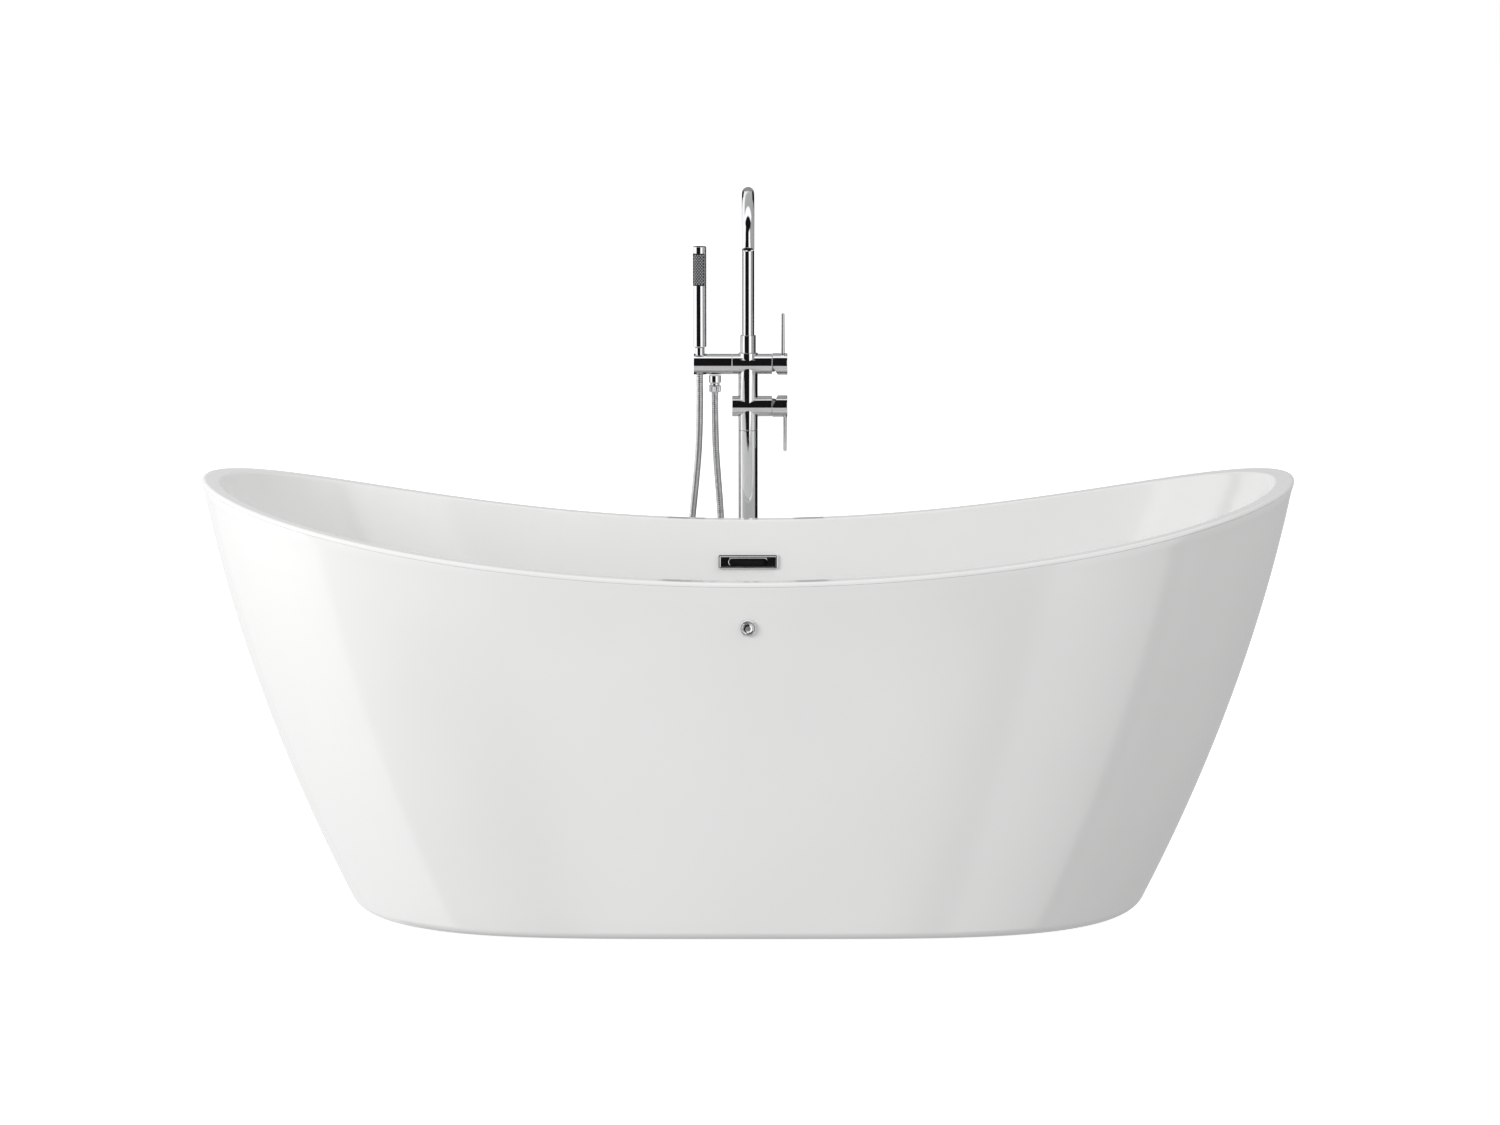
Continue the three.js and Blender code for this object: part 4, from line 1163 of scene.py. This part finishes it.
def build_cards():
    """Cards close round the filler, seen only in reflections: they edge the chrome."""
    cards = (
        ("#080808", (0.13, -0.01, 0.02), (0.08, 0.13, 1.25)),
        ("#080808", (-0.14, 0.075, 0.02), (-0.075, 0.13, 1.25)),
        ("#9a9a9a", (-0.2, 0.5, 1.05), (0.2, 0.5, 1.6)),
    )
    for number, (tint, near, far) in enumerate(cards):
        look = Look("felt_card_%d" % number, {"Roughness": 1.0})
        look.tones(look.patches(300.0), linear(tint), shaded(linear(tint), 1.2))
        points = [(x, FILLER_Y + y, z) for z in (near[2], far[2])
                  for x, y in (near[:2], far[:2])]
        card = new_object("Card", points, [(0, 1, 3, 2)])
        card.data.materials.append(look.material)
        card.visible_camera = card.visible_diffuse = card.visible_shadow = False


def build_lights():
    setup = bpy.context.scene.bath_stage
    lamp = bpy.data.lights.new("Left softbox", "AREA")
    lamp.shape = "RECTANGLE"
    lamp.size, lamp.size_y = 1.8, 1.6
    lamp.energy = setup.key_power
    made = bpy.data.objects.new("Left softbox", lamp)
    made.location = SOFTBOX_PLACE
    made.rotation_euler = (SOFTBOX_AIM - SOFTBOX_PLACE).to_track_quat("-Z", "Y").to_euler()
    made.visible_glossy = False
    bpy.context.scene.collection.objects.link(made)


# ---- settings ---------------------------------------------------------------------


def number(name, about, value, **limits):
    return FloatProperty(name=name, description=about, default=value, **limits)


def length(name, about, value, low, high):
    return number(name, about, value, min=low, max=high, unit="LENGTH")


def whole(name, about, value, low, high):
    return IntProperty(name=name, description=about, default=value, min=low, max=high)


def colour(name, about, code):
    return FloatVectorProperty(name=name, description=about, default=linear(code), size=4,
                               min=0, max=1, subtype="COLOR")


class BathShape(bpy.types.PropertyGroup):
    length: length("Length", "Rim to rim along the tub", 1.8, 1.2, 2.2)
    width: length("Width", "Rim to rim across the tub", 0.754, 0.5, 1.1)
    end_height: length("End height", "Height of the rim at both ends", 0.718, 0.4, 0.9)
    middle_height: length("Middle height", "Height of the rim halfway along", 0.592, 0.3, 0.8)
    rim_width: length("Rim width", "Width of the flat rim", 0.030, 0.01, 0.06)
    inner_roll: length("Inner roll", "Radius where the rim turns into the well", 0.004,
                       0.001, 0.012)
    outer_roll: length("Outer roll", "Radius of the rim's outer edge", 0.0065, 0.001, 0.02)
    lip_drop: length("Lip drop", "How far the rim turns down over the skirt", 0.007, 0.004, 0.02)
    around: whole("Around", "Points round each ring, a multiple of 4", 384, 48, 768)
    rows: whole("Rows", "Rings up the well's wall", 44, 12, 96)


class BathHose(bpy.types.PropertyGroup):
    rib_pitch: length("Rib pitch", "Distance from one rib to the next", 0.0037, 0.001, 0.01)
    rib_depth: length("Rib depth", "Depth of the groove between ribs", 0.0005, 0.0001, 0.002)
    follow: number("Follow", "Height's share in what follows the shower", 0.15, min=0, max=1)


class BathFinish(bpy.types.PropertyGroup):
    acrylic: colour("Acrylic", "White of the shells", "#f6f6f5")
    chrome: colour("Chrome", "Plating's own tint", "#ecedee")
    hose: colour("Hose", "Crests of the hose", "#e6e7e8")
    rubber: colour("Rubber", "Feet, gasket and spray face", "#141415")
    # The nozzles' grey is painted highlight on their tips; they are black rubber.
    nozzle: colour("Nozzles", "Spray nozzles", "#97999c")
    black: colour("Black plastic", "Inside the overflow and the spout", "#17171a")
    steel: colour("Steel", "Zinc-plated frame", "#b4b9bd")
    board: colour("Board", "Floor board's lightest chips", "#c8a574")
    plastic: colour("Plastic", "Waste and overflow fittings", "#e4e3df")
    brass: colour("Brass", "Supply pipes", "#d8b064")


class BathStage(bpy.types.PropertyGroup):
    lens: number("Lens", "Focal length in millimetres", 117.2, min=20, max=300)
    pitch: number("Pitch", "How far the camera looks down", math.radians(8.445),
                  subtype="ANGLE")
    fill: number("Fill", "Light from all round", 0.56)
    right_light: number("Right light", "Extra light from the right", 0.06)
    corner_light: number("Corner light", "Extra light from above right", 1.15)
    front_light: number("Front light", "Extra light from the front", 0.05)
    floor_light: number("Floor light", "Share that comes from below", 0.7, min=0, max=1)
    key_power: number("Key", "Power of the left softbox in watts", 80.0, min=0)
    floor_glow: number("Floor glow", "How far the floor is burnt out", 0.6, min=0)


# ---- operators --------------------------------------------------------------------


class BATH_OT_base:
    bl_options = {"REGISTER", "UNDO"}
    steps = ()

    def execute(self, context):
        if not FINISH:
            FINISH.update(make_finishes())
        for step in type(self).steps:
            step()
        return {"FINISHED"}


class BATH_OT_stage(BATH_OT_base, bpy.types.Operator):
    """Set up the camera, the floor and the light"""

    bl_idname = "bath.stage"
    bl_label = "Studio"
    steps = (build_camera, build_floor, build_cards, build_lights, build_world)


class BATH_OT_hose(BATH_OT_base, bpy.types.Operator):
    """Build the ribbed shower hose"""

    bl_idname = "bath.hose"
    bl_label = "Shower hose"
    steps = (build_hose,)


class BATH_OT_shells(BATH_OT_base, bpy.types.Operator):
    """Build the basin and the skirt round it"""

    bl_idname = "bath.shells"
    bl_label = "Basin and skirt"
    steps = (build_basin, build_skirt)


class BATH_OT_waste(BATH_OT_base, bpy.types.Operator):
    """Build the waste flange and its click plug"""

    bl_idname = "bath.waste"
    bl_label = "Waste"
    steps = (build_waste,)


class BATH_OT_overflow(BATH_OT_base, bpy.types.Operator):
    """Build the overflow plate"""

    bl_idname = "bath.overflow"
    bl_label = "Overflow plate"
    steps = (build_overflow,)


class BATH_OT_button(BATH_OT_base, bpy.types.Operator):
    """Build the button and its bezel"""

    bl_idname = "bath.button"
    bl_label = "Button"
    steps = (build_button,)


class BATH_OT_filler(BATH_OT_base, bpy.types.Operator):
    """Build the filler's foot, column, body and shower holder"""

    bl_idname = "bath.filler"
    bl_label = "Filler column"
    steps = (build_filler_base, build_filler_body, build_holder)


class BATH_OT_valves(BATH_OT_base, bpy.types.Operator):
    """Build the diverter and the mixer handles"""

    bl_idname = "bath.valves"
    bl_label = "Valve handles"
    steps = (build_valves,)


class BATH_OT_spout(BATH_OT_base, bpy.types.Operator):
    """Build the swivel spout, its aerator and its collar"""

    bl_idname = "bath.spout"
    bl_label = "Spout"
    steps = (build_spout,)


class BATH_OT_shower(BATH_OT_base, bpy.types.Operator):
    """Build the hand shower, its spray face and its cone"""

    bl_idname = "bath.shower"
    bl_label = "Hand shower"
    steps = (build_hand_shower,)


class BATH_OT_hidden(BATH_OT_base, bpy.types.Operator):
    """Finish the frame, feet, pipes and fittings"""

    bl_idname = "bath.hidden"
    bl_label = "Frame and fittings"
    steps = (finish_kept_nodes,)


OPERATORS = (
    BATH_OT_stage, BATH_OT_hose, BATH_OT_shells, BATH_OT_waste, BATH_OT_overflow,
    BATH_OT_button, BATH_OT_filler, BATH_OT_valves, BATH_OT_spout, BATH_OT_shower,
    BATH_OT_hidden,
)
GROUPS = {"bath_shape": BathShape, "bath_hose": BathHose, "bath_finish": BathFinish,
          "bath_stage": BathStage}


class BATH_PT_panel(bpy.types.Panel):
    bl_label = "Freestanding bathtub"
    bl_space_type = "VIEW_3D"
    bl_region_type = "UI"
    bl_category = "Bathtub"

    def draw(self, context):
        for operator in OPERATORS:
            self.layout.operator(operator.bl_idname)
        for name, group in GROUPS.items():
            box = self.layout.box()
            for key in group.__annotations__:
                box.prop(getattr(context.scene, name), key)


def register():
    for name, group in GROUPS.items():
        bpy.utils.register_class(group)
        setattr(bpy.types.Scene, name, PointerProperty(type=group))
    for made in (*OPERATORS, BATH_PT_panel):
        bpy.utils.register_class(made)


def unregister():
    for made in (BATH_PT_panel, *reversed(OPERATORS)):
        bpy.utils.unregister_class(made)
    for name, group in GROUPS.items():
        delattr(bpy.types.Scene, name)
        bpy.utils.unregister_class(group)


def main():
    register()
    bpy.context.scene.view_settings.view_transform = "Standard"
    for operator in OPERATORS:
        space, name = operator.bl_idname.split(".")
        getattr(getattr(bpy.ops, space), name)()


if __name__ == "__main__":
    main()
